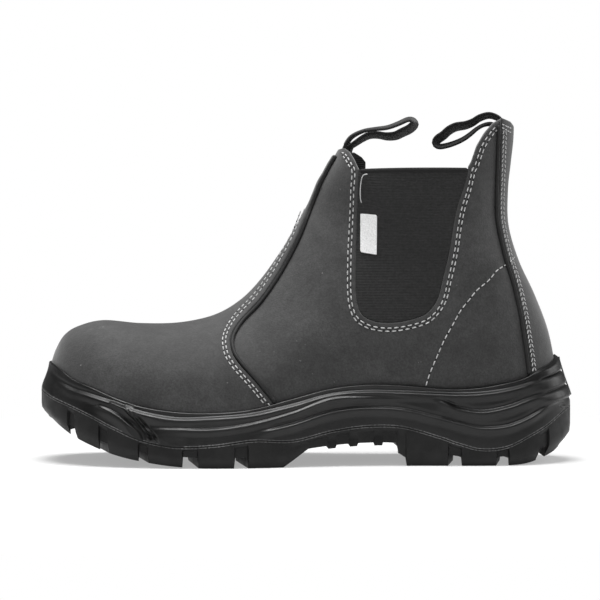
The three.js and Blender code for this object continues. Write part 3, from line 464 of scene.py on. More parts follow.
def split(data, tris, value):
    """Cuts the triangles along value = 0: each crossed edge gets one new vertex, by linear interpolation of
    all columns. Returns data, triangles, and which triangles lie where value is positive."""
    tiny = 1e-3
    value = np.where(np.abs(value) < tiny, tiny, value)
    above = value > 0
    count = above[tris].sum(1)
    mixed = (count > 0) & (count < 3)
    whole, cut = tris[~mixed], tris[mixed]
    lone_above = count[mixed] == 1
    first = np.where(lone_above[:, None], above[cut], ~above[cut]).argmax(1)
    a, b, c = np.take_along_axis(cut, (first[:, None] + np.arange(3)) % 3, 1).T
    edges = np.sort(np.concatenate([np.stack([a, b], 1), np.stack([a, c], 1)]), axis=1)
    unique, index = np.unique(edges, axis=0, return_inverse=True)
    v0, v1 = value[unique[:, 0]], value[unique[:, 1]]
    f = np.clip(v0 / (v0 - v1), tiny, 1 - tiny)[:, None]
    new = data[unique[:, 0]] * (1 - f) + data[unique[:, 1]] * f
    index = index.ravel() + len(data)
    ab, ac = index[:len(a)], index[len(a):]
    parts = [whole, np.stack([a, ab, ac], 1), np.stack([ab, b, c], 1), np.stack([ab, c, ac], 1)]
    sides = np.concatenate([count[~mixed] == 3, lone_above, ~lone_above, ~lone_above])
    return np.concatenate([data, new]), np.concatenate(parts), sides


def tidy(data, tris):
    """Drops the vertices that no triangle uses."""
    used, index = np.unique(tris, return_inverse=True)
    return data[used], index.reshape(-1, 3)


def keep(data, tris, field):
    """The part of a surface where field, worked out from its data, is positive."""
    data, tris, sides = split(data, tris, field(data))
    return tidy(data, tris[sides])


def crease(data, tris, column, levels):
    """Adds vertices along the given levels of a column, so that a rounded edge has rows to bend on."""
    for level in levels:
        data, tris, _ = split(data, tris, data[:, column] - level)
    return data, tris


def add_column(data, values):
    """The data with one more column."""
    return np.concatenate([data, values[:, None]], 1)


def shell(outer, inner, tris):
    """A closed body between two copies of a surface, with a wall along its open edges. Returns vertices,
    triangles, and 0 for outer, 1 for inner and 2 for wall triangles."""
    n = len(outer)
    edges = np.concatenate([tris[:, [0, 1]], tris[:, [1, 2]], tris[:, [2, 0]]])
    key = edges.min(1) * n + edges.max(1)
    _, index, count = np.unique(key, return_index=True, return_counts=True)
    a, b = edges[index[count == 1]].T
    wall = np.concatenate([np.stack([b, a, a + n], 1), np.stack([b, a + n, b + n], 1)])
    kind = np.repeat([0, 1, 2], [len(tris), len(tris), len(wall)])
    return np.concatenate([outer, inner]), np.concatenate([tris, tris[:, ::-1] + n, wall]), kind


def rolled(distance, radius=ROLL):
    """How far a surface sinks near its border: a quarter circle over the last radius."""
    u = np.clip(1 - distance / radius, 0, 1)
    return radius * (1 - np.sqrt(np.maximum(1 - u * u, 0)))


def add_piece(name, points, tris, materials, nodes=(), kind=None, smooth=40.0, bent=True):
    """A piece of the boot from straight points in millimetres, bent onto the boot and in metres."""
    placed = ((bend(points) if bent else points) + ORIGIN) * MM
    mesh = bpy.data.meshes.new(name)
    mesh.vertices.add(len(placed))
    mesh.vertices.foreach_set("co", placed.astype(np.float32).ravel())
    mesh.loops.add(tris.size)
    mesh.loops.foreach_set("vertex_index", tris.astype(np.int32).ravel())
    mesh.polygons.add(len(tris))
    mesh.polygons.foreach_set("loop_start", np.arange(0, tris.size, tris.shape[1], dtype=np.int32))
    if kind is not None:
        mesh.polygons.foreach_set("material_index", kind.astype(np.int32))
    mesh.update(calc_edges=True)
    mesh.validate()
    mesh.shade_smooth()
    mesh.set_sharp_from_angle(angle=math.radians(smooth))
    for material in materials:
        mesh.materials.append(material)
    piece = bpy.data.objects.new(name, mesh)
    bpy.context.scene.collection.objects.link(piece)
    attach(piece, "root")
    if nodes:
        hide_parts(*nodes)
    return piece


# Materials


def new_material(name, roughness, **sockets):
    """A material and its shader, with the roughness and the other given inputs set."""
    material = bpy.data.materials.new(name)
    material.use_nodes = True
    shader = material.node_tree.nodes["Principled BSDF"]
    shader.inputs["Roughness"].default_value = roughness
    for socket, value in sockets.items():
        shader.inputs[socket.replace("_", " ")].default_value = value
    return material, shader


def add_node(material, kind, **settings):
    """A node with its settings, inputs by name."""
    node = material.node_tree.nodes.new(kind)
    for key, value in settings.items():
        socket = key.replace("_", " ")
        if socket in node.inputs:
            node.inputs[socket].default_value = value
        else:
            setattr(node, key, value)
    return node


def link(material, source, target):
    """Joins two sockets."""
    material.node_tree.links.new(source, target)


def noise(material, scale, detail=4.0, roughness=0.55, stretch=(1.0, 1.0, 1.0)):
    """Noise on Object coordinates, in features of about 1 / scale metres."""
    place = add_node(material, "ShaderNodeTexCoord")
    mapping = add_node(material, "ShaderNodeMapping")
    mapping.inputs["Scale"].default_value = stretch
    texture = add_node(material, "ShaderNodeTexNoise", Scale=scale, Detail=detail, Roughness=roughness)
    link(material, place.outputs["Object"], mapping.inputs["Vector"])
    link(material, mapping.outputs["Vector"], texture.inputs["Vector"])
    return texture.outputs["Fac"]


def ramp(material, source, stops):
    """Colours over a value, from (place, colour) stops."""
    node = add_node(material, "ShaderNodeValToRGB")
    elements = node.color_ramp.elements
    while len(elements) < len(stops):
        elements.new(0.5)
    for element, (place, colour) in zip(elements, stops):
        element.position = place
        element.color = (*colour, 1.0)
    link(material, source, node.inputs["Fac"])
    return node.outputs["Color"]


def grey(value, warm=0.0):
    """A grey with a trace of warmth."""
    return (value * (1 + warm), value, value * (1 - warm))


def mix(material, a, b, factor, kind="MIX"):
    """Two colours mixed by a value or a constant."""
    node = add_node(material, "ShaderNodeMix", data_type="RGBA", blend_type=kind)
    for socket, value in ((node.inputs[6], a), (node.inputs[7], b), (node.inputs[0], factor)):
        if isinstance(value, (tuple, float)):
            socket.default_value = (*value, 1.0) if isinstance(value, tuple) else value
        else:
            link(material, value, socket)
    return node.outputs[2]


def bump(material, shader, layers):
    """Heights (source, distance in metres, strength) stacked as bump on the shader's normal."""
    before = None
    for source, distance, strength in layers:
        node = add_node(material, "ShaderNodeBump", Distance=distance, Strength=strength)
        link(material, source, node.inputs["Height"])
        if before is not None:
            link(material, before, node.inputs["Normal"])
        before = node.outputs["Normal"]
    link(material, before, shader.inputs["Normal"])


def leather_material(name, dark, light, pale):
    """Dull oiled leather: clouds of two greys, fine grain, and rare pale specks and scuffs."""
    material, shader = new_material(name, 0.78, Sheen_Weight=0.25, Sheen_Roughness=0.5)
    clouds = noise(material, 42.0, 5.0, 0.6)
    patches = noise(material, 14.0, 3.0, 0.5, (1.0, 1.0, 1.6))
    grain = noise(material, 900.0, 3.0, 0.6)
    base = ramp(material, clouds, [(0.33, grey(dark)), (0.68, grey(light))])
    broad = ramp(material, patches, [(0.35, grey(0.78)), (0.65, grey(1.14))])
    fine = ramp(material, grain, [(0.32, grey(0.7)), (0.68, grey(1.26))])
    mottle = ramp(material, noise(material, 240.0, 4.0, 0.6), [(0.36, grey(0.84)), (0.64, grey(1.14))])
    colour = mix(material, mix(material, base, broad, 1.0, "MULTIPLY"), fine, 1.0, "MULTIPLY")
    colour = mix(material, colour, mottle, 1.0, "MULTIPLY")
    specks = ramp(material, noise(material, 420.0, 2.0, 0.5), [(0.735, grey(0.0)), (0.76, grey(1.0))])
    rare = ramp(material, noise(material, 60.0, 2.0, 0.5), [(0.52, grey(0.0)), (0.6, grey(1.0))])
    spots = mix(material, specks, rare, 1.0, "MULTIPLY")
    colour = mix(material, colour, grey(pale), spots)
    link(material, colour, shader.inputs["Base Color"])
    pores = add_node(material, "ShaderNodeTexVoronoi", Scale=1150.0)
    place = add_node(material, "ShaderNodeTexCoord")
    link(material, place.outputs["Object"], pores.inputs["Vector"])
    bump(material, shader, [
        (clouds, 0.0009, 0.35), (grain, 0.00022, 0.45), (pores.outputs["Distance"], 0.00012, 0.35),
    ])
    return material


def rubber_material(name, dark, light, roughness, shine=0.4):
    """Moulded rubber: near black with a faint bloom of dust, half gloss, and a slightly uneven skin."""
    material, shader = new_material(name, roughness, Specular_IOR_Level=shine)
    dust = noise(material, 70.0, 5.0, 0.65)
    colour = ramp(material, dust, [(0.4, grey(dark)), (0.72, grey(light))])
    link(material, colour, shader.inputs["Base Color"])
    gloss = add_node(material, "ShaderNodeMapRange", From_Min=0.3, From_Max=0.7)
    gloss.inputs["To Min"].default_value = roughness - 0.08
    gloss.inputs["To Max"].default_value = roughness + 0.1
    link(material, noise(material, 160.0, 3.0, 0.6), gloss.inputs["Value"])
    link(material, gloss.outputs["Result"], shader.inputs["Roughness"])
    bump(material, shader, [(dust, 0.0006, 0.25), (noise(material, 1400.0, 2.0, 0.5), 0.0001, 0.3)])
    return material


def ribbed_material(name, dark, light, pitch, axis, roughness=0.9):
    """Woven tape or elastic: fine ribs of a fixed pitch along one axis, broken by noise, with loose lint."""
    material, shader = new_material(name, roughness, Sheen_Weight=0.15)
    place = add_node(material, "ShaderNodeTexCoord")
    wave = add_node(material, "ShaderNodeTexWave", bands_direction=axis, Distortion=1.2, Detail=2.0)
    wave.inputs["Scale"].default_value = 0.314 / pitch
    wave.inputs["Detail Scale"].default_value = 6.0
    link(material, place.outputs["Object"], wave.inputs["Vector"])
    ribs = ramp(material, wave.outputs["Fac"], [(0.2, grey(dark)), (0.8, grey(light))])
    lint = ramp(material, noise(material, 700.0, 3.0, 0.6), [(0.35, grey(0.55)), (0.7, grey(1.7))])
    link(material, mix(material, ribs, lint, 1.0, "MULTIPLY"), shader.inputs["Base Color"])
    bump(material, shader, [(wave.outputs["Fac"], 0.00035, 0.6), (noise(material, 1800.0), 0.00015, 0.4)])
    return material


def thread_material(name, dark, light):
    """Waxed sewing thread: pale, with a fine twist and some soil."""
    material, shader = new_material(name, 0.6)
    twist = noise(material, 900.0, 2.0, 0.5)
    colour = ramp(material, twist, [(0.3, grey(dark)), (0.65, grey(light))])
    link(material, colour, shader.inputs["Base Color"])
    bump(material, shader, [(twist, 0.00012, 0.5)])
    return material


def plain_material(name, value, roughness, scale=600.0):
    """A small black or white part: one grey with a fine uneven tone and skin."""
    material, shader = new_material(name, roughness)
    tone = noise(material, scale, 3.0, 0.6)
    colour = ramp(material, tone, [(0.3, grey(value * 0.8)), (0.7, grey(value * 1.15))])
    link(material, colour, shader.inputs["Base Color"])
    bump(material, shader, [(tone, 0.0002, 0.4)])
    return material


LEATHER = leather_material("nubuck", 0.025, 0.042, 0.15)
CUT_EDGE = leather_material("leather cut edge", 0.1, 0.18, 0.25)
TEXTILE = ribbed_material("black lining", 0.012, 0.02, 0.0011, "Z")
MIDSOLE_RUBBER = rubber_material("moulded side", 0.004, 0.008, 0.36, 0.36)
TREAD_RUBBER = rubber_material("moulded tread", 0.006, 0.012, 0.5, 0.26)
ELASTIC_CLOTH = ribbed_material("ribbed elastic", 0.007, 0.013, 0.0009, "Z")
TAPE_CLOTH = ribbed_material("woven tape", 0.007, 0.016, 0.0009, "X")
CORD_SKIN = plain_material("piping skin", 0.004, 0.7)
THREAD_PALE = thread_material("pale thread", 0.34, 0.62)
ELASTIC_EDGE = plain_material("elastic edge", 0.003, 0.85)
# painted shade: a near-black colour for the capsules that stand in for the shade inside the needle holes
NEEDLE_HOLE_SHADE = plain_material("needle hole", 0.006, 0.9)
FELT = ribbed_material("footbed felt", 0.02, 0.045, 0.0016, "X")
LABEL_CLOTH = plain_material("label tape", 0.86, 0.75, 1500.0)


# The leather

topline = side_points(TOPLINE)
above_topline = np.concatenate([topline, [[FAR, topline[-1, 1]], [FAR, FAR], [topline[0, 0], FAR]]])
gore_line = smooth_line(side_points(GORE), 0.8)
gore_cut = np.concatenate([gore_line, [[gore_line[-1, 0], FAR], [gore_line[0, 0], FAR]]])
SEAM_GAP = PIPING / 2 + GAP
vamp_seam = smooth_line(side_points(VAMP_SEAM), 0.8)
back_seam = smooth_line(side_points(BACK_SEAM), 0.8)
bed_line = form_row(np.arange(*BED_ROWS))[1]


def below_topline(data):
    """Distance below the collar's edge, whose line runs back across the boot."""
    back, outer = TAB_SKEW
    return -within(np.stack([data[:, 0] - back * (data[:, 1] + outer), data[:, 2]], -1), above_topline)


def skin(data, offset):
    """The form's points moved along their directions by an offset and the folds' height."""
    return data[:, :3] + data[:, 3:6] * (offset + data[:, 6])[:, None]


def panel(grid, outline, offset, thickness, border_roll=ROLL):
    """A leather or cloth panel inside an outline of the side view: cut from the grid where its outer face
    lies, below the collar's edge, with a rolled border, as a closed shell."""
    data, tris = grid
    data = np.concatenate([skin(data, offset) - data[:, 3:6] * data[:, 6:7], data[:, 3:]], 1)
    data, tris = keep(data, tris, lambda d: within(d[:, [0, 2]], outline))
    data, tris = keep(data, tris, below_topline)
    edge = np.minimum(within(data[:, [0, 2]], outline), below_topline(data))
    data = add_column(data, np.maximum(edge, 0))
    data, tris = crease(data, tris, 7, [border_roll * share for share in (0.08, 0.3, 0.6, 1.0)])
    outer = skin(data, -rolled(data[:, 7], border_roll))
    inner = skin(data, np.full(len(data), -thickness))
    return shell(outer, inner, tris)


fine_grid = fan_grid(FINE_SPACING, FINE_SIDES)
skin_grid = fan_grid(SKIN_SPACING, SKIN_SIDES)


def outline_rows(u):
    """The sole's outline at row numbers u: place, half width, direction in from it, heights of its lines,
    base and tread, and the tuck."""
    last = len(SOLE) - 1
    u = np.asarray(u, float)
    x, outer, inner, *heights, tuck = np.moveaxis(along(SOLE, u), -1, 0)
    near = 0.01
    a, b = along(SOLE, np.maximum(u - near, 0)), along(SOLE, np.minimum(u + near, last))
    dx = (b[..., 0] - a[..., 0]) * SOLE_LENGTH
    dw = (b[..., 1] + b[..., 2] - a[..., 1] - a[..., 2]) / 2 * BALL_WIDTH
    length = np.hypot(dx, dw)
    tip = (u <= 0) | (u >= last)
    inward = np.stack([np.where(tip, np.where(u <= 0, 1, -1), dw / length), np.where(tip, 0, -dx / length)], -1)
    half = np.where(tip, 0, (outer + inner) / 2 * BALL_WIDTH)
    lines = np.stack(heights[:5], -1) * RIM_HEIGHT
    base, tread = heights[5] * RIM_HEIGHT, np.maximum(heights[6], 0) * RIM_HEIGHT
    return {"x": x * SOLE_LENGTH, "half": half, "inward": inward, "lines": lines, "base": base,
            "tread": tread, "tuck": tuck * LUG_TUCK}


def with_lean(rows):
    """Adds how far in from the outline the rim's edge stands against the leather, found by halving."""
    z = rows["lines"][:, 0]
    low, high = np.zeros(len(z)), np.full(len(z), 25.0)
    for _ in range(24):
        inset = (low + high) / 2
        half = ring_half(rows["x"] + rows["inward"][:, 0] * inset, z)
        outside = (half == 0) | (rows["half"] + rows["inward"][:, 1] * inset > half)
        low, high = np.where(outside, inset, low), np.where(outside, high, inset)
    rows["lean"] = np.maximum(low - LIP, 1)
    return rows


def inset_points(rows, inset, side, z):
    """Points at an inset from the sole's outline, on one side and at a height."""
    y = np.maximum(rows["half"] + rows["inward"][:, 1] * inset, 0)
    return np.stack([rows["x"] + rows["inward"][:, 0] * inset, side * y, z], -1)


def make_upper():
    """The hollow leather shell with its lining: quarters and lasted toe, cut out for the gores, open at
    the collar and under the foot."""
    rows = with_lean(outline_rows(np.linspace(0, len(SOLE) - 1, 300)))
    inset = MARGIN + LIP
    open_rows = {key: value[rows["half"] > 2 * inset] for key, value in rows.items()}
    edges = [inset_points(open_rows, open_rows["lean"] + inset, side, open_rows["x"])[:, :2] for side in (-1, 1)]
    under = np.concatenate([edges[0], edges[1][::-1]])

    def off_opening(data):
        """Distance outside the opening under the foot."""
        return np.maximum(-within(data[:, :2], under), data[:, 2] - OPENING_TOP * RIM_HEIGHT)

    data, tris = skin_grid
    data = np.concatenate([data[:, :3] - data[:, 3:6] * LAYER, data[:, 3:]], 1)
    data, tris = keep(data, tris, off_opening)
    data, tris = keep(data, tris, lambda d: -within(d[:, [0, 2]], gore_cut))
    data, tris = keep(data, tris, below_topline)
    edge = np.minimum(-within(data[:, [0, 2]], gore_cut), below_topline(data))
    data = add_column(data, np.maximum(edge, 0))
    data, tris = crease(data, tris, 7, [ROLL * share for share in (0.08, 0.3, 0.6, 1.0)])
    outer = skin(data, -rolled(data[:, 7]))
    inner = skin(data, -WALL + rolled(data[:, 7], ROLL * 0.6))
    points, faces, kind = shell(outer, inner, tris)
    add_piece("upper_skin", points, faces, [LEATHER, TEXTILE, CUT_EDGE], ["upper"], kind)


def make_overlays():
    """Vamp and backstay, each a panel over the quarters with a rolled edge along its seam."""
    seam = offset_line(vamp_seam, SEAM_GAP)
    foot = bed_line[bed_line[:, 0] < seam[0, 0] - SUNK] + [0, SUNK]
    outline = np.concatenate([[[-FAR, foot[0, 1]]], foot, seam, [[seam[-1, 0], FAR], [-FAR, FAR]]])
    points, faces, kind = panel(fine_grid, outline, 0.0, LAYER - 0.05)
    add_piece("vamp_skin", points, faces, [LEATHER, LEATHER, CUT_EDGE], ["vamp"], kind)
    seam = offset_line(back_seam, -SEAM_GAP)
    foot = seam[0, 1] - SUNK / 2
    corners = [[seam[0, 0], foot], [FAR, foot], [FAR, FAR], [seam[-1, 0], FAR]]
    points, faces, kind = panel(fine_grid, np.concatenate([corners, seam[::-1]]), 0.0, LAYER - 0.05)
    add_piece("backstay_skin", points, faces, [LEATHER, LEATHER, CUT_EDGE], ["backstay"], kind)


def half_grid(grid, side):
    """The part of a grid on one side of the boot."""
    data, tris = grid
    chosen = (data[tris][:, :, 1].mean(1) * side) > 0
    return tidy(data, tris[chosen])


def make_gores():
    """The two elastic panels, set a little below the leather around them, each with a bound top edge."""
    outline = offset_line(gore_line, GAP * 0.2)
    outline[[0, -1], 1] = gore_line[0, 1]
    for side, name in ((-1, "gore_lateral"), (1, "gore_medial")):
        points, faces, _ = panel(half_grid(fine_grid, side), outline, -LAYER - GORE_SINK, ELASTIC, 0.3)
        add_piece(name + "_cloth", points, faces, [ELASTIC_CLOTH], [name])
        edge_x = np.linspace(outline[0, 0] + BINDING_INSET, outline[-1, 0] - BINDING_INSET, BINDING_POINTS)
        edge = np.stack([edge_x, np.full(BINDING_POINTS, gore_line[0, 1])], -1)
        line, _ = on_form(edge - [0, 1.2], side, -LAYER - GORE_SINK - ELASTIC / 2)
        points, faces = tube(line, 1.0, 12, squash=(1.0, 1.5))
        add_piece(name + "_binding", points, faces, [ELASTIC_EDGE], ())


def sweep_frames(line, up=(0.0, 1.0, 0.0)):
    """Directions along a line and two across it, the second as near to up as it can be."""
    ends = np.concatenate([line[:1], line, line[-1:]])
    forward = ends[2:] - ends[:-2]
    forward /= np.linalg.norm(forward, axis=1)[:, None]
    across = np.cross(forward, np.broadcast_to(up, forward.shape))
    across /= np.maximum(np.linalg.norm(across, axis=1), 1e-9)[:, None]
    return forward, across, np.cross(across, forward)


def tube(line, radius, sides, squash=(1.0, 1.0), up=(0.0, 0.0, 1.0), lumps=None):
    """A closed tube: an ellipse carried along a line, with a domed end at each side."""
    forward, across, along_up = sweep_frames(line, up)
    angle = np.arange(sides) / sides * 2 * np.pi
    size = np.full(len(line), radius) if lumps is None else radius * lumps
    ring = (np.cos(angle)[None, :, None] * across[:, None] * squash[0]
            + np.sin(angle)[None, :, None] * along_up[:, None] * squash[1])
    body = line[:, None] + ring * size[:, None, None]
    caps = []
    for end, sign in ((0, -1), (-1, 1)):
        for share in (0.5, 0.85):
            tip = line[end] + forward[end] * sign * size[end] * share
            caps.append(tip + ring[end] * size[end] * math.sqrt(1 - share**2))
    body = np.concatenate([[caps[1], caps[0]], body, [caps[2], caps[3]]])
    return close_rings(body)


def close_rings(body):
    """Triangles over rings of points, wound outwards for rings that turn left around their direction,
    with a fan at each end."""
    count, sides = body.shape[:2]
    r, k = np.meshgrid(np.arange(count - 1), np.arange(sides), indexing="ij")
    a, b = (r * sides + k).ravel(), (r * sides + (k + 1) % sides).ravel()
    faces = [np.stack([a, b + sides, b], 1), np.stack([a, a + sides, b + sides], 1)]
    middle = np.stack([body[0].mean(0), body[-1].mean(0)])
    base, k = count * sides, np.arange(sides)
    faces.append(np.stack([np.full(sides, base), k, (k + 1) % sides], 1))
    end = (count - 1) * sides
    faces.append(np.stack([np.full(sides, base + 1), end + (k + 1) % sides, end + k], 1))
    points, faces = np.concatenate([body.reshape(-1, 3), middle]), np.concatenate(faces)
    a, b, c = (points[faces[:, i]] for i in range(3))
    if (np.cross(b - a, c - a) * (a + b + c)).sum() < 0:
        faces = faces[:, ::-1]
    return points, faces


# Seams


def make_piping():
    """The black cord in each seam, with a knotted end above the sole."""
    for name, line in (("piping_front", vamp_seam), ("piping_back", back_seam)):
        for side, where in ((-1, "lateral"), (1, "medial")):
            start = 1 if name == "piping_front" else 0
            path, _ = on_form(line[start:], side, SEAM_GAP - LAYER - 0.45)
            lumps = 1 + 0.04 * np.sin(np.arange(len(path)) * 1.7)
            if name == "piping_front":
                lumps[:4] = [1.2, 1.5, 1.5, 1.15]
            points, faces = tube(path, PIPING / 2, 10, lumps=lumps)
            add_piece(f"{name}_{where}_cord", points, faces, [CORD_SKIN], [f"{name}_{where}"])


CAPSULE_SIDES = 7
CAPSULE_RINGS = np.array([
    [-1.0, 0.0], [-0.86, 0.62], [-0.5, 0.95], [0.0, 1.0], [0.5, 0.95], [0.86, 0.62], [1.0, 0.0],
])


def capsules(centres, forward, outward, length, width, height):
    """Many small rounded bodies at once: a unit capsule of rings scaled along, across and out of the
    surface at each centre."""
    across = np.cross(forward, outward)
    angle = np.arange(CAPSULE_SIDES) / CAPSULE_SIDES * 2 * np.pi
    at, size = CAPSULE_RINGS[:, 0], CAPSULE_RINGS[:, 1]
    unit = np.stack([np.repeat(at, CAPSULE_SIDES), np.outer(size, np.cos(angle)).ravel(),
                     np.outer(size, np.sin(angle)).ravel()], -1)
    axes = np.stack([forward * length / 2, across * width / 2, outward * height], 1)
    points = centres[:, None] + np.einsum("va,nac->nvc", unit, axes)
    rings = len(at)
    r, k = np.meshgrid(np.arange(rings - 1), np.arange(CAPSULE_SIDES), indexing="ij")
    a, b = (r * CAPSULE_SIDES + k).ravel(), (r * CAPSULE_SIDES + (k + 1) % CAPSULE_SIDES).ravel()
    quads = np.stack([a, a + CAPSULE_SIDES, b + CAPSULE_SIDES, b], 1)
    tris = np.concatenate([quads[:, [0, 1, 2]], quads[:, [0, 2, 3]]])
    if np.linalg.det(axes[0]) < 0:
        tris = tris[:, ::-1]
    faces = (np.arange(len(centres))[:, None, None] * len(unit) + tris[None]).reshape(-1, 3)
    return points.reshape(-1, 3), faces


def join(parts):
    """Several (points, triangles) as one."""
    start = np.cumsum([0] + [len(points) for points, _ in parts])
    return (np.concatenate([points for points, _ in parts]),
            np.concatenate([faces + at for (_, faces), at in zip(parts, start)]))


def stitch_row(line, side, level, pitch=STITCH_PITCH, length=STITCH, width=THREAD, turn=0.0):
    """A row of stitches along a line of the side view, laid on the skin, and flat near-black capsules between
    them that paint the shade inside the needle holes. turn slants each stitch against its row, in degrees."""
    path = smooth_line(line, 1.0)
    place, outward = on_form(path, side, level)
    run = np.concatenate([[0], np.cumsum(np.linalg.norm(np.diff(place, axis=0), axis=1))])
    count = int(run[-1] / pitch)
    wander = np.sin(np.arange(count) * 12.9898) * 43758.5453
    wander -= np.floor(wander)
    at = (np.arange(count) + 0.5 + (wander - 0.5) * 0.08) * pitch

    def pick(values, where):
        """Rows of values at lengths along the path."""
        return np.stack([np.interp(where, run, values[:, c]) for c in range(3)], -1)

    centre, normal = pick(place, at), pick(outward, at)
    forward = pick(place, at + 0.6) - pick(place, at - 0.6)
    forward /= np.linalg.norm(forward, axis=1)[:, None]
    normal -= forward * (normal * forward).sum(1)[:, None]
    normal /= np.linalg.norm(normal, axis=1)[:, None]
    slant = math.radians(turn)
    turned = forward * math.cos(slant) + np.cross(normal, forward) * math.sin(slant)
    sag = swell(centre[:, 0], centre[:, 2], np.full(count, side * 0.5))
    seat = centre + normal * (sag + 0.1)[:, None]
    threads = capsules(seat, turned, normal, length, width, width * 0.42)
    # painted shade: a flat dark capsule at each needle hole, standing in for the shade inside it
    hole_at = at - pitch / 2
    hole = pick(place, hole_at) + normal * (sag - 0.02)[:, None]
    holes = capsules(hole, forward, normal, pitch - length + 0.5, width * 0.95, 0.12)
    return threads, holes


def beside_collar(line, side):
    """A line of the side view whose part above the gore moves back with the collar's edge on that side."""
    back, outer = TAB_SKEW
    y = on_form(line, side, -LAYER)[0][:, 1]
    above = ease(gore_line[0, 1] - COLLAR_EASE, gore_line[0, 1] + COLLAR_EASE, line[:, 1])
    return np.stack([line[:, 0] + back * (y + outer) * above, line[:, 1]], -1)


def make_stitches():
    """All seams' threads as one piece, and the painted shade of their needle holes, as dark capsules, as
    another.
    """
    rows = []
    for side in (-1, 1):
        gore = side_points(GORE)
        front_top, rear_top = topline[1:6][::-1], topline[8:13]
        around = smooth_line(np.concatenate([front_top[::-1], gore, rear_top]), 2.5)
        around = around[3:-2]
        for k, inset in enumerate((ROW_INSET, ROW_INSET + ROW_SPACING)):
            rows.append(stitch_row(beside_collar(offset_line(around, -inset)[k:], side), side, -LAYER))
        for k, inset in enumerate((ROW_INSET - 0.5, ROW_INSET + ROW_SPACING - 0.5)):
            line = offset_line(smooth_line(side_points(VAMP_SEAM[:VAMP_ROW_POINTS]), 4.0), SEAM_GAP + inset)
            rows.append(stitch_row(line[k:], side, 0.0, 3.5, 2.5))
        back = smooth_line(side_points(BACK_SEAM), 4.0)
        for k, inset in enumerate((0.9, 2.4)):
            line = offset_line(back, -SEAM_GAP - inset)
            rows.append(stitch_row(line, side, 0.0, 2.7, 2.5, THREAD * 0.85, 24.0 if k else -24.0))
        rows.append(stitch_row(smooth_line(side_points(COUNTER_ROW), 4.0), side, -LAYER, 4.1, 3.0))
        for row in CROSS_ROWS:
            rows.append(stitch_row(resample(side_points(row), 1.0), side, 0.0, 2.9, 2.3))
    points, faces = join([threads for threads, _ in rows])
    add_piece("seam_threads", points, faces, [THREAD_PALE], ())
    # the needle holes' painted shade as one piece
    points, faces = join([holes for _, holes in rows])
    add_piece("needle_hole_shade", points, faces, [NEEDLE_HOLE_SHADE], ())


def make_label():
    """The small white tape sewn on the lateral gore, left bare: a thin panel with a slight curl."""
    outline = resample(side_points(LABEL + LABEL[:1]), 0.8)[:-1]
    grid = half_grid(fan_grid(0.8, 300), -1)
    points, faces, _ = panel(grid, outline, -LAYER - GORE_SINK + 0.15 + LABEL_THICK, LABEL_THICK, 0.25)
    add_piece("label_tape", points, faces, [LABEL_CLOTH], ["label"])


# Loops

TWIST = 9.0  # degrees


def band(path, width, thickness):
    """A flat tape swept along a path of the side view: a rounded section, wide across the boot, a little
    cupped, with soft edges, and twisted about the path most at the loop's far end."""
    angle = np.arange(28) / 28 * 2 * np.pi
    c, s = np.cos(angle), np.sin(angle)
    y = width / 2 * np.sign(c) * np.abs(c) ** 0.35
    h = thickness / 2 * np.sign(s) * np.abs(s) ** 0.7
    h = h - 0.35 * (y / (width / 2)) ** 2
    line = np.stack([path[:, 0], np.zeros(len(path)), path[:, 1]], -1)
    _, across, up = sweep_frames(line)
    twist = math.radians(TWIST) * np.sin(np.pi * np.linspace(0, 1, len(line)))[:, None]
    y, h = y * np.cos(twist) - h * np.sin(twist), y * np.sin(twist) + h * np.cos(twist)
    body = line[:, None] + up[:, None] * y[:, :, None] + across[:, None] * h[:, :, None]
    return close_rings(body)


def make_loops():
    """The two pull loops: tape folded into a loop above the collar, and its two ends sewn to the lining."""
    tops = {
        "pull_loop_front": topline[3, 1] + TAIL_STANDS,
        "pull_loop_rear": topline[:, 1].max() - TAIL_STANDS,
    }
    middle = SOLE_LENGTH * SHAFT_AXIS
    for name, line in (("pull_loop_front", LOOP_FRONT), ("pull_loop_rear", LOOP_REAR)):
        low, high = (0.0, middle) if name == "pull_loop_front" else (middle, FAR)
        top = tops[name]
        area = np.array([[low, top - LOOP_TAIL], [high, top - LOOP_TAIL], [high, top], [low, top]])
        data, tris = skin_grid
        offset = LINING - GAP
        data = np.concatenate([data[:, :3] + data[:, 3:6] * offset, data[:, 3:]], 1)
        data, tris = keep(data, tris, lambda d: within(d[:, [0, 2]], area))
        data, tris = keep(data, tris, lambda d: WEBBING_WIDTH / 2 - np.abs(d[:, 1]))
        outer = skin(data, np.zeros(len(data)))
        inner = skin(data, np.full(len(data), -2 * WEBBING))
        points, faces, _ = shell(outer, inner, tris)
        loop = band(smooth_line(side_points(line), 1.0), WEBBING_WIDTH, WEBBING)
        points, faces = join([(points, faces), loop])
        add_piece(name + "_tape", points, faces, [TAPE_CLOTH], [name])


# The sole

# Steps of the side: line, start, end and ease of its ends along the sole as shares, then in millimetres
# how far it stands out, how far down it fades, and the dip above it
SIDE_STEPS = [
    [1, 0.035, 0.93, 0.03, 1.35, 6.0, 0.5],
    [2, 0.25, 0.64, 0.07, 1.15, 5.0, 0.45],
    [2, 0.745, 0.94, 0.02, 1.7, 6.5, 0.6],
    [3, 0.43, 0.95, 0.03, 1.4, 5.0, 0.5],
]
STEP_EDGE = 0.9
HEEL_BULGE = [0.915, 0.965, 1.8]  # where the stacked bulges start and are whole, and their height
DIMPLE = [0.978, 3.55, 1.7, 1.2, 0.9]  # share and line of the dent at the back, half sizes and depth
RIB_HEIGHT = 1.4
RIB_WIDTH = 0.62
LENS_HEIGHT = 2.0
LENS_FADE = 7.0
TOE_PANEL = [[0.17, 0.9], [0.196, 1.25], [0.212, 1.75], [0.224, 2.4], [0.232, 3.05], [0.238, 3.9]]
PANEL_HEIGHT = 1.4
PANEL_FADE = 16.0
SIDE_STATIONS = 560
SIDE_LEVELS = 68
LEVEL_WARP = 0.6
OUT_MOST = 1.0  # how far the relief may stand out beyond the outline


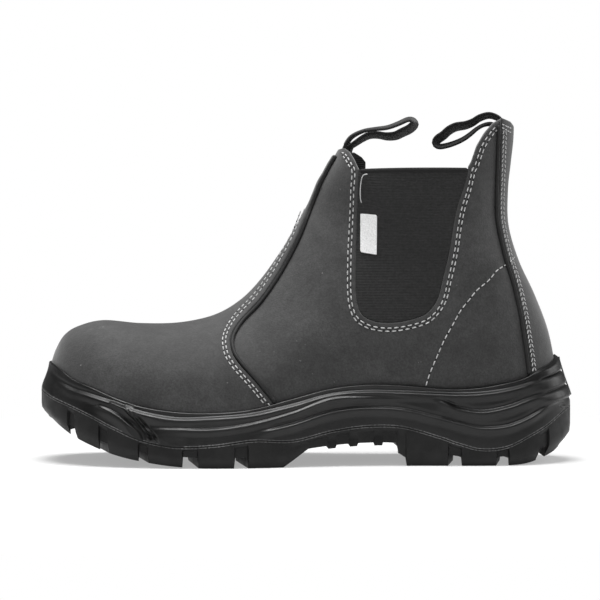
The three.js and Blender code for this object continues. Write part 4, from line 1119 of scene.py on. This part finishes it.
def sole_path(shares):
    """A line on the sole's side as an even polyline, from shares of the length and places on the line
    scale."""
    share = np.array(shares)
    at = outline_rows(np.interp(share[:, 0] * SOLE_LENGTH, SOLE_X, SOLE_U))["lines"]
    k = np.minimum(share[:, 1].astype(int), 3)
    f = share[:, 1] - k
    row = np.arange(len(k))
    height = at[row, k] * (1 - f) + at[row, k + 1] * f
    return smooth_line(np.stack([share[:, 0] * SOLE_LENGTH, height], -1), 1.0)


def ledge(below, fade):
    """1 at a step's lip, falling to 0 over a short edge above it and over a longer fade below it."""
    return ease(-STEP_EDGE, STEP_EDGE, below) * (1 - ease(STEP_EDGE, fade, below))


def side_relief(x, z, level, lines):
    """How far the sole's side stands out: a lip at each line that fades downwards, stacked bulges and a
    dent at the heel, and ribs, a lens and a panel edge at the toe."""
    share = x / SOLE_LENGTH
    height = np.zeros_like(x)
    for at, start, end, soft, step, fade, dip in SIDE_STEPS:
        here = ease(start - soft, start + soft, share) * (1 - ease(end - soft, end + soft, share))
        below = lines[:, at:at + 1] - z
        height += here * (step * ledge(below, fade) - dip * np.exp(-((below + 1.3) ** 2)))
    start, end, bulge = HEEL_BULGE
    part = level % 1
    height += bulge * ease(start, end, share) * (1 - (2 * part - 1) ** 4) * (1 - ease(2.9, 3.0, level))
    at, line, length, rise, depth = DIMPLE
    middle = sole_path([[at - 0.004, line], [at, line]])[-1]
    height -= depth * np.exp(-(((x - middle[0]) / length) ** 2 + ((z - middle[1]) / rise) ** 2) ** 2)
    flat = np.stack([x.ravel(), z.ravel()], -1)
    for k, rib in enumerate(TOE_RIBS):
        path = sole_path(rib)
        near = distance_to(flat, path).reshape(z.shape)
        if k < len(TOE_RIBS) - 1:
            height += RIB_HEIGHT * np.exp(-((near / RIB_WIDTH) ** 2))
        else:
            under = np.interp(x, path[:, 0], path[:, 1]) - z
            here = ease(path[0, 0] - 8, path[0, 0] + 6, x) * (1 - ease(path[-1, 0] - 3, path[-1, 0] + 1, x))
            height += LENS_HEIGHT * here * ledge(near * np.sign(under), LENS_FADE)
    path = sole_path(TOE_PANEL)
    near = distance_to(flat, path).reshape(z.shape)
    behind = x - np.interp(-z, -path[:, 1], path[:, 0])
    here = 1 - ease(path[0, 1] - 1.0, path[0, 1] + 1.5, z)
    height += PANEL_HEIGHT * here * ledge(near * np.sign(behind), PANEL_FADE)
    return height


def make_midsole():
    """The moulded side: an outline from toe to heel, leaning in to the rim, with its steps and ribs, a
    rounded lip against the leather, and a cup inside."""
    rows = with_lean(outline_rows(np.linspace(0, len(SOLE) - 1, SIDE_STATIONS)))
    even = np.linspace(0, 4, SIDE_LEVELS)
    level = even - LEVEL_WARP / (2 * np.pi) * np.sin(2 * np.pi * even)
    index = np.minimum(level.astype(int), 3)
    part = level - index
    lines = rows["lines"]
    z = lines[:, index] * (1 - part) + lines[:, index + 1] * part
    x = np.broadcast_to(rows["x"][:, None], z.shape)
    lean = rows["lean"][:, None] * (1 - ease(0.0, 4.6, level + 0.6))[None]
    relief = side_relief(x, z, np.broadcast_to(level, z.shape), lines)
    inset = np.maximum(lean - relief, -OUT_MOST)
    rim = rows["lines"][:, 0]
    lip = [(0.25, 0.35), (0.6, 0.5), (0.95, 0.35), (1.0, -0.2), (1.0, -3.0), (1.6, -7.0), (4.0, -11.0)]
    top_inset = inset[:, 0]
    insets = [np.maximum(top_inset + LIP * share, 0) for share, _ in lip]
    heights = [np.maximum(rim + up, rows["lines"][:, 4] + 2.0) for _, up in lip]
    bottom = [(3.0, 0.0), (0.6, 0.0)]
    outer = []
    for side in (-1, 1):
        ring = [inset_points(rows, a, side, b) for a, b in zip(insets[::-1], heights[::-1])]
        ring += [inset_points(rows, inset[:, i], side, z[:, i]) for i in range(SIDE_LEVELS)]
        ring += [inset_points(rows, np.full(len(rim), a), side, lines[:, 4] + b) for a, b in bottom[::-1]]
        outer.append(ring)
    return np.stack(outer[0] + outer[1][::-1], 1)


def make_fin():
    """The thin seam fin that the mould leaves on the heel's back, over the crests of its bulges."""
    rows = with_lean(outline_rows(np.array([len(SOLE) - 1.0])))
    level = np.array([0.15, 0.5, 1.5, 2.5, 2.85])
    index = level.astype(int)
    lines = rows["lines"][0]
    z = lines[index] + (lines[index + 1] - lines[index]) * (level - index)
    inset = rows["lean"][0] * (1 - ease(0.0, 4.6, level + 0.6)) - HEEL_BULGE[2] + 0.15
    path = smooth_line(np.stack([SOLE_LENGTH - inset, np.zeros(len(z)), z], -1), 0.6)
    return tube(path, 0.45, 8, up=(0.0, 1.0, 0.0))


def ring_body(body):
    """Triangles over the closed rings of a sole body, whose end rings have shrunk to upright lines."""
    count, sides = body.shape[:2]
    r, k = np.meshgrid(np.arange(count - 1), np.arange(sides), indexing="ij")
    a, b = (r * sides + k).ravel(), (r * sides + (k + 1) % sides).ravel()
    points = body.reshape(-1, 3)
    faces = np.concatenate([np.stack([a, b, b + sides], 1), np.stack([a, b + sides, a + sides], 1)])
    size = np.linalg.norm(np.cross(points[faces[:, 1]] - points[faces[:, 0]],
                                   points[faces[:, 2]] - points[faces[:, 0]]), axis=1)
    return points, faces[size > 1e-7]


def groove_stations():
    """Row numbers along the sole, dense and even, with a close pair at each side of every groove, arch end
    and arch rib, so that their walls are upright."""
    wall = 0.0012
    marks = [m for row in GROOVES for m in row[:2]]
    marks += [m + d for m in ARCH_RIBS for d in (-ARCH_RIB / 2 / SOLE_LENGTH, ARCH_RIB / 2 / SOLE_LENGTH)]
    pairs = [m + d for m in marks for d in (-wall, wall)] + [row[0] for row in ARCH]
    u = np.interp(np.array(pairs) * SOLE_LENGTH, SOLE_X, SOLE_U)
    return np.unique(np.round(np.concatenate([np.linspace(0, len(SOLE) - 1, 420), u]), 5))


def in_spans(x, spans):
    """1 inside any of the spans, given as shares of the length, and 0 outside."""
    share = x / SOLE_LENGTH
    return np.any([(share > a) & (share < b) for a, b in spans], axis=0).astype(float)


def make_outsole():
    """The tread: a base plate with lugs below it. Rings across the sole run down its side, in under the
    lugs and over to the other side; across the grooves they stay at the base, and the rings bend forward
    with the grooves."""
    rows = outline_rows(groove_stations())
    x, base, tread = rows["x"], rows["base"], rows["tread"]
    top = rows["lines"][:, 4] - GAP
    groove = in_spans(x, [row[:2] for row in GROOVES])
    share = x / SOLE_LENGTH
    arch_z = np.interp(share, [row[0] for row in ARCH], [row[1] for row in ARCH]) * RIM_HEIGHT
    in_arch = (share > ARCH[0][0]) & (share < ARCH[-1][0])
    floor = np.where(in_arch, np.minimum(np.maximum(tread, arch_z), base), tread)
    rib = in_spans(x, [(m - ARCH_RIB / 2 / SOLE_LENGTH, m + ARCH_RIB / 2 / SOLE_LENGTH) for m in ARCH_RIBS])
    floor = np.where(rib > 0, base - ARCH_RIB_DEPTH, floor)
    floor = np.where(groove > 0, base, floor)
    deep = np.clip((floor - tread) / np.maximum(base - tread, 1e-6), 0, 1)
    marks = [m for row in GROOVES for m in row[:2]]
    forward = np.interp(share, sorted(marks), np.repeat([row[2] for row in sorted(GROOVES)], 2)) * SOLE_LENGTH
    forward *= ease(0.0, 0.1, share) * (1 - ease(0.9, 1.0, share))
    down = np.array([0.0, 0.12, 0.25, 0.35, 0.5, 0.65, 0.8, 0.9, 0.96, 1.0])
    tuck = ease(0.55, 1.05, down) ** 1.3
    height = top - floor
    profile = []
    for d, lean in zip(down, tuck):
        z = top - height * d
        lug = rows["tuck"] * lean
        cut = LUG_RELIEF * ease(0.18, 0.36, (top - z) / np.maximum(top - base, 1e-6))
        recess = cut - RIB_STANDS * ease(0.6, 0.9, d)
        inset = np.where(deep > 0.98, cut, np.where(rib > 0, recess, lug * (1 - deep) + cut * deep))
        profile.append((inset, z))
    edge = profile[-1][0]
    across = np.array([0.97, 0.9, 0.75, 0.6, 0.45, 0.3, 0.2, 0.12])
    channel = in_spans(x, CHANNELS)
    rings = []
    for side in (-1, 1):
        ring = [inset_points(rows, inset, side, z) for inset, z in profile]
        rim = ring[-1]
        for v in across:
            inner = rim * [1, v, 1]
            inner[:, 0] -= forward * (1 - v)
            ring.append(inner)
        for reach in (CHANNEL / 2 + 0.15, CHANNEL / 2 - 0.15, 0.0):
            inner = rim.copy()
            inner[:, 1] = side * np.minimum(np.abs(rim[:, 1]) * across[-1], reach)
            inner[:, 0] -= forward * (1 - np.abs(inner[:, 1]) / np.maximum(np.abs(rim[:, 1]), 1e-6))
            if reach < CHANNEL / 2:
                inner[:, 2] = np.where(channel > 0, np.maximum(base, inner[:, 2]), inner[:, 2])
            ring.append(inner)
        lid = inset_points(rows, edge * 0 + 4.0, side, top)
        ring.insert(0, lid)
        rings.append(ring)
    rings[1] = rings[1][:-1]
    return np.stack(rings[0] + rings[1][::-1], 1)


FLASH_ENDS = (0.004, 0.992)
FLASH_STATIONS = 760
FLASH_LINES = [(-0.35, 0.36), (0.85, 0.3)]  # how far below the parting, and radius


def make_sole():
    """Midsole, outsole, and the rough seam line between them, coloured pale as a painted highlight."""
    points, faces = ring_body(make_midsole())
    add_piece("midsole_side", points, faces, [MIDSOLE_RUBBER], ["midsole"], smooth=50.0)
    points, faces = ring_body(make_outsole())
    add_piece("outsole_tread", points, faces, [TREAD_RUBBER], ["outsole"], smooth=30.0)
    # pale lumpy tubes along the parting and the heel fin: a painted highlight of the rough seam ridge
    rows = outline_rows(np.interp(np.linspace(*FLASH_ENDS, FLASH_STATIONS) * SOLE_LENGTH, SOLE_X, SOLE_U))
    parts = []
    k = np.arange(FLASH_STATIONS)
    for side in (-1, 1):
        for drop, radius in FLASH_LINES:
            line = inset_points(rows, np.full(FLASH_STATIONS, 0.1), side, rows["lines"][:, 4] - drop)
            lumps = 0.8 + 0.35 * np.sin(k * 2.1 + drop) * np.sin(k * 0.73 + 1.0) + 0.2 * np.sin(k * 5.3 + drop)
            parts.append(tube(line, radius, 6, lumps=lumps))
    parts.append(make_fin())
    points, faces = join(parts)
    add_piece("parting_flash", points, faces, [FLASH_PAINTED_HIGHLIGHT], ())


# painted highlight: a pale grey, far lighter than the rubber, standing in for the glints on the flash lines and
# the fin
FLASH_PAINTED_HIGHLIGHT = rubber_material("flash painted highlight", 0.05, 0.17, 0.6)


def make_thread_end():
    """A loose thread end that hangs from the collar in front of the lateral gore."""
    shares = [
        [0.6205, 0.993], [0.613, 0.988], [0.609, 0.962], [0.607, 0.916], [0.607, 0.878], [0.6085, 0.859],
    ]
    path, _ = on_form(smooth_line(side_points(shares), 0.8), -1, -LAYER + 0.5)
    points, faces = tube(path, 0.3, 6)
    add_piece("loose_thread", points, faces, [THREAD_PALE], ())


# Studio

CAMERA_PLACE = Vector((-3.28, -1150.0, 105.3)) * MM
CAMERA_TARGET = Vector((-3.28, 0.0, 92.75)) * MM
SENSOR = 36.0
FOCAL_SHARE = 1983 / 600
FLOOR_FADE = (0.16, 0.42, 0.36)  # where the floor's painted glow starts and ends, and how much of it lightens the floor and its shadow under the boot
AMBIENT = 0.14


def make_camera():
    """The photograph's view: level with the shaft, looking slightly down at the outer side."""
    camera = bpy.data.cameras.new("camera")
    camera.sensor_width = SENSOR
    camera.lens = SENSOR * FOCAL_SHARE
    holder = bpy.data.objects.new("camera", camera)
    bpy.context.scene.collection.objects.link(holder)
    holder.location = CAMERA_PLACE
    holder.rotation_euler = (CAMERA_TARGET - CAMERA_PLACE).to_track_quat("-Z", "Y").to_euler()
    bpy.context.scene.camera = holder


def add_light(name, place, target, size, power):
    """A square soft box aimed at a point."""
    light = bpy.data.lights.new(name, "AREA")
    light.shape = "RECTANGLE"
    light.size, light.size_y = size
    light.energy = power
    holder = bpy.data.objects.new(name, light)
    bpy.context.scene.collection.objects.link(holder)
    holder.location = place
    holder.rotation_euler = (Vector(target) - Vector(place)).to_track_quat("-Z", "Y").to_euler()


def make_studio():
    """A pale floor that fades with distance into a painted white glow and glows in part under the boot, which
    lightens its shadow there, a white surround and soft boxes.
    """
    mesh = bpy.data.meshes.new("floor")
    reach = 6.0
    corners = [(-reach, -reach, 0), (reach, -reach, 0), (reach, reach, 0), (-reach, reach, 0)]
    mesh.from_pydata(corners, [], [(0, 1, 2, 3)])
    floor = bpy.data.objects.new("floor", mesh)
    bpy.context.scene.collection.objects.link(floor)
    material, shader = new_material("white floor", 0.9, Specular_IOR_Level=0.1)
    shader.inputs["Base Color"].default_value = (0.9, 0.9, 0.9, 1)
    tree = material.node_tree
    place = add_node(material, "ShaderNodeTexCoord")
    length = add_node(material, "ShaderNodeVectorMath", operation="LENGTH")
    link(material, place.outputs["Object"], length.inputs[0])
    fade = add_node(material, "ShaderNodeMapRange", interpolation_type="SMOOTHSTEP")
    for socket, value in zip(("From Min", "From Max", "To Min"), FLOOR_FADE):
        fade.inputs[socket].default_value = value
    link(material, length.outputs["Value"], fade.inputs["Value"])
    # painted light: emission on the floor, whole far off and in part under the boot, where it lightens the cast
    # shadow
    glow = add_node(material, "ShaderNodeEmission", Strength=1.0)
    blend = add_node(material, "ShaderNodeMixShader")
    link(material, fade.outputs["Result"], blend.inputs["Fac"])
    link(material, shader.outputs["BSDF"], blend.inputs[1])
    link(material, glow.outputs["Emission"], blend.inputs[2])
    link(material, blend.outputs["Shader"], tree.nodes["Material Output"].inputs["Surface"])
    mesh.materials.append(material)
    world = bpy.data.worlds.new("studio")
    world.use_nodes = True
    bpy.context.scene.world = world
    nodes, links = world.node_tree.nodes, world.node_tree.links
    path = nodes.new("ShaderNodeLightPath")
    choose = nodes.new("ShaderNodeMix")
    choose.data_type = "RGBA"
    choose.inputs[6].default_value = (AMBIENT, AMBIENT, AMBIENT, 1)
    choose.inputs[7].default_value = (1, 1, 1, 1)
    links.new(path.outputs["Is Camera Ray"], choose.inputs[0])
    links.new(choose.outputs[2], nodes["Background"].inputs["Color"])
    add_light("top box", (-0.1, -0.1, 1.3), (0, 0, 0.05), (0.8, 0.8), 25.0)
    add_light("toe box", (-1.3, -0.1, 0.5), (-0.1, 0, 0.06), (0.8, 1.0), 0.7)
    add_light("heel box", (1.3, 0.3, 0.6), (0.1, 0, 0.1), (0.8, 1.0), 6.0)
    add_light("front box", (0.0, -1.7, 0.75), (0, 0, 0.06), (1.0, 0.8), 2.8)
    bpy.context.scene.view_settings.view_transform = "Standard"


make_camera()
make_upper()
make_overlays()
make_gores()
make_piping()
make_stitches()
make_label()
make_loops()
make_sole()
make_thread_end()
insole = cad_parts["insole"]
insole.data.materials.clear()
insole.data.materials.append(FELT)
make_studio()
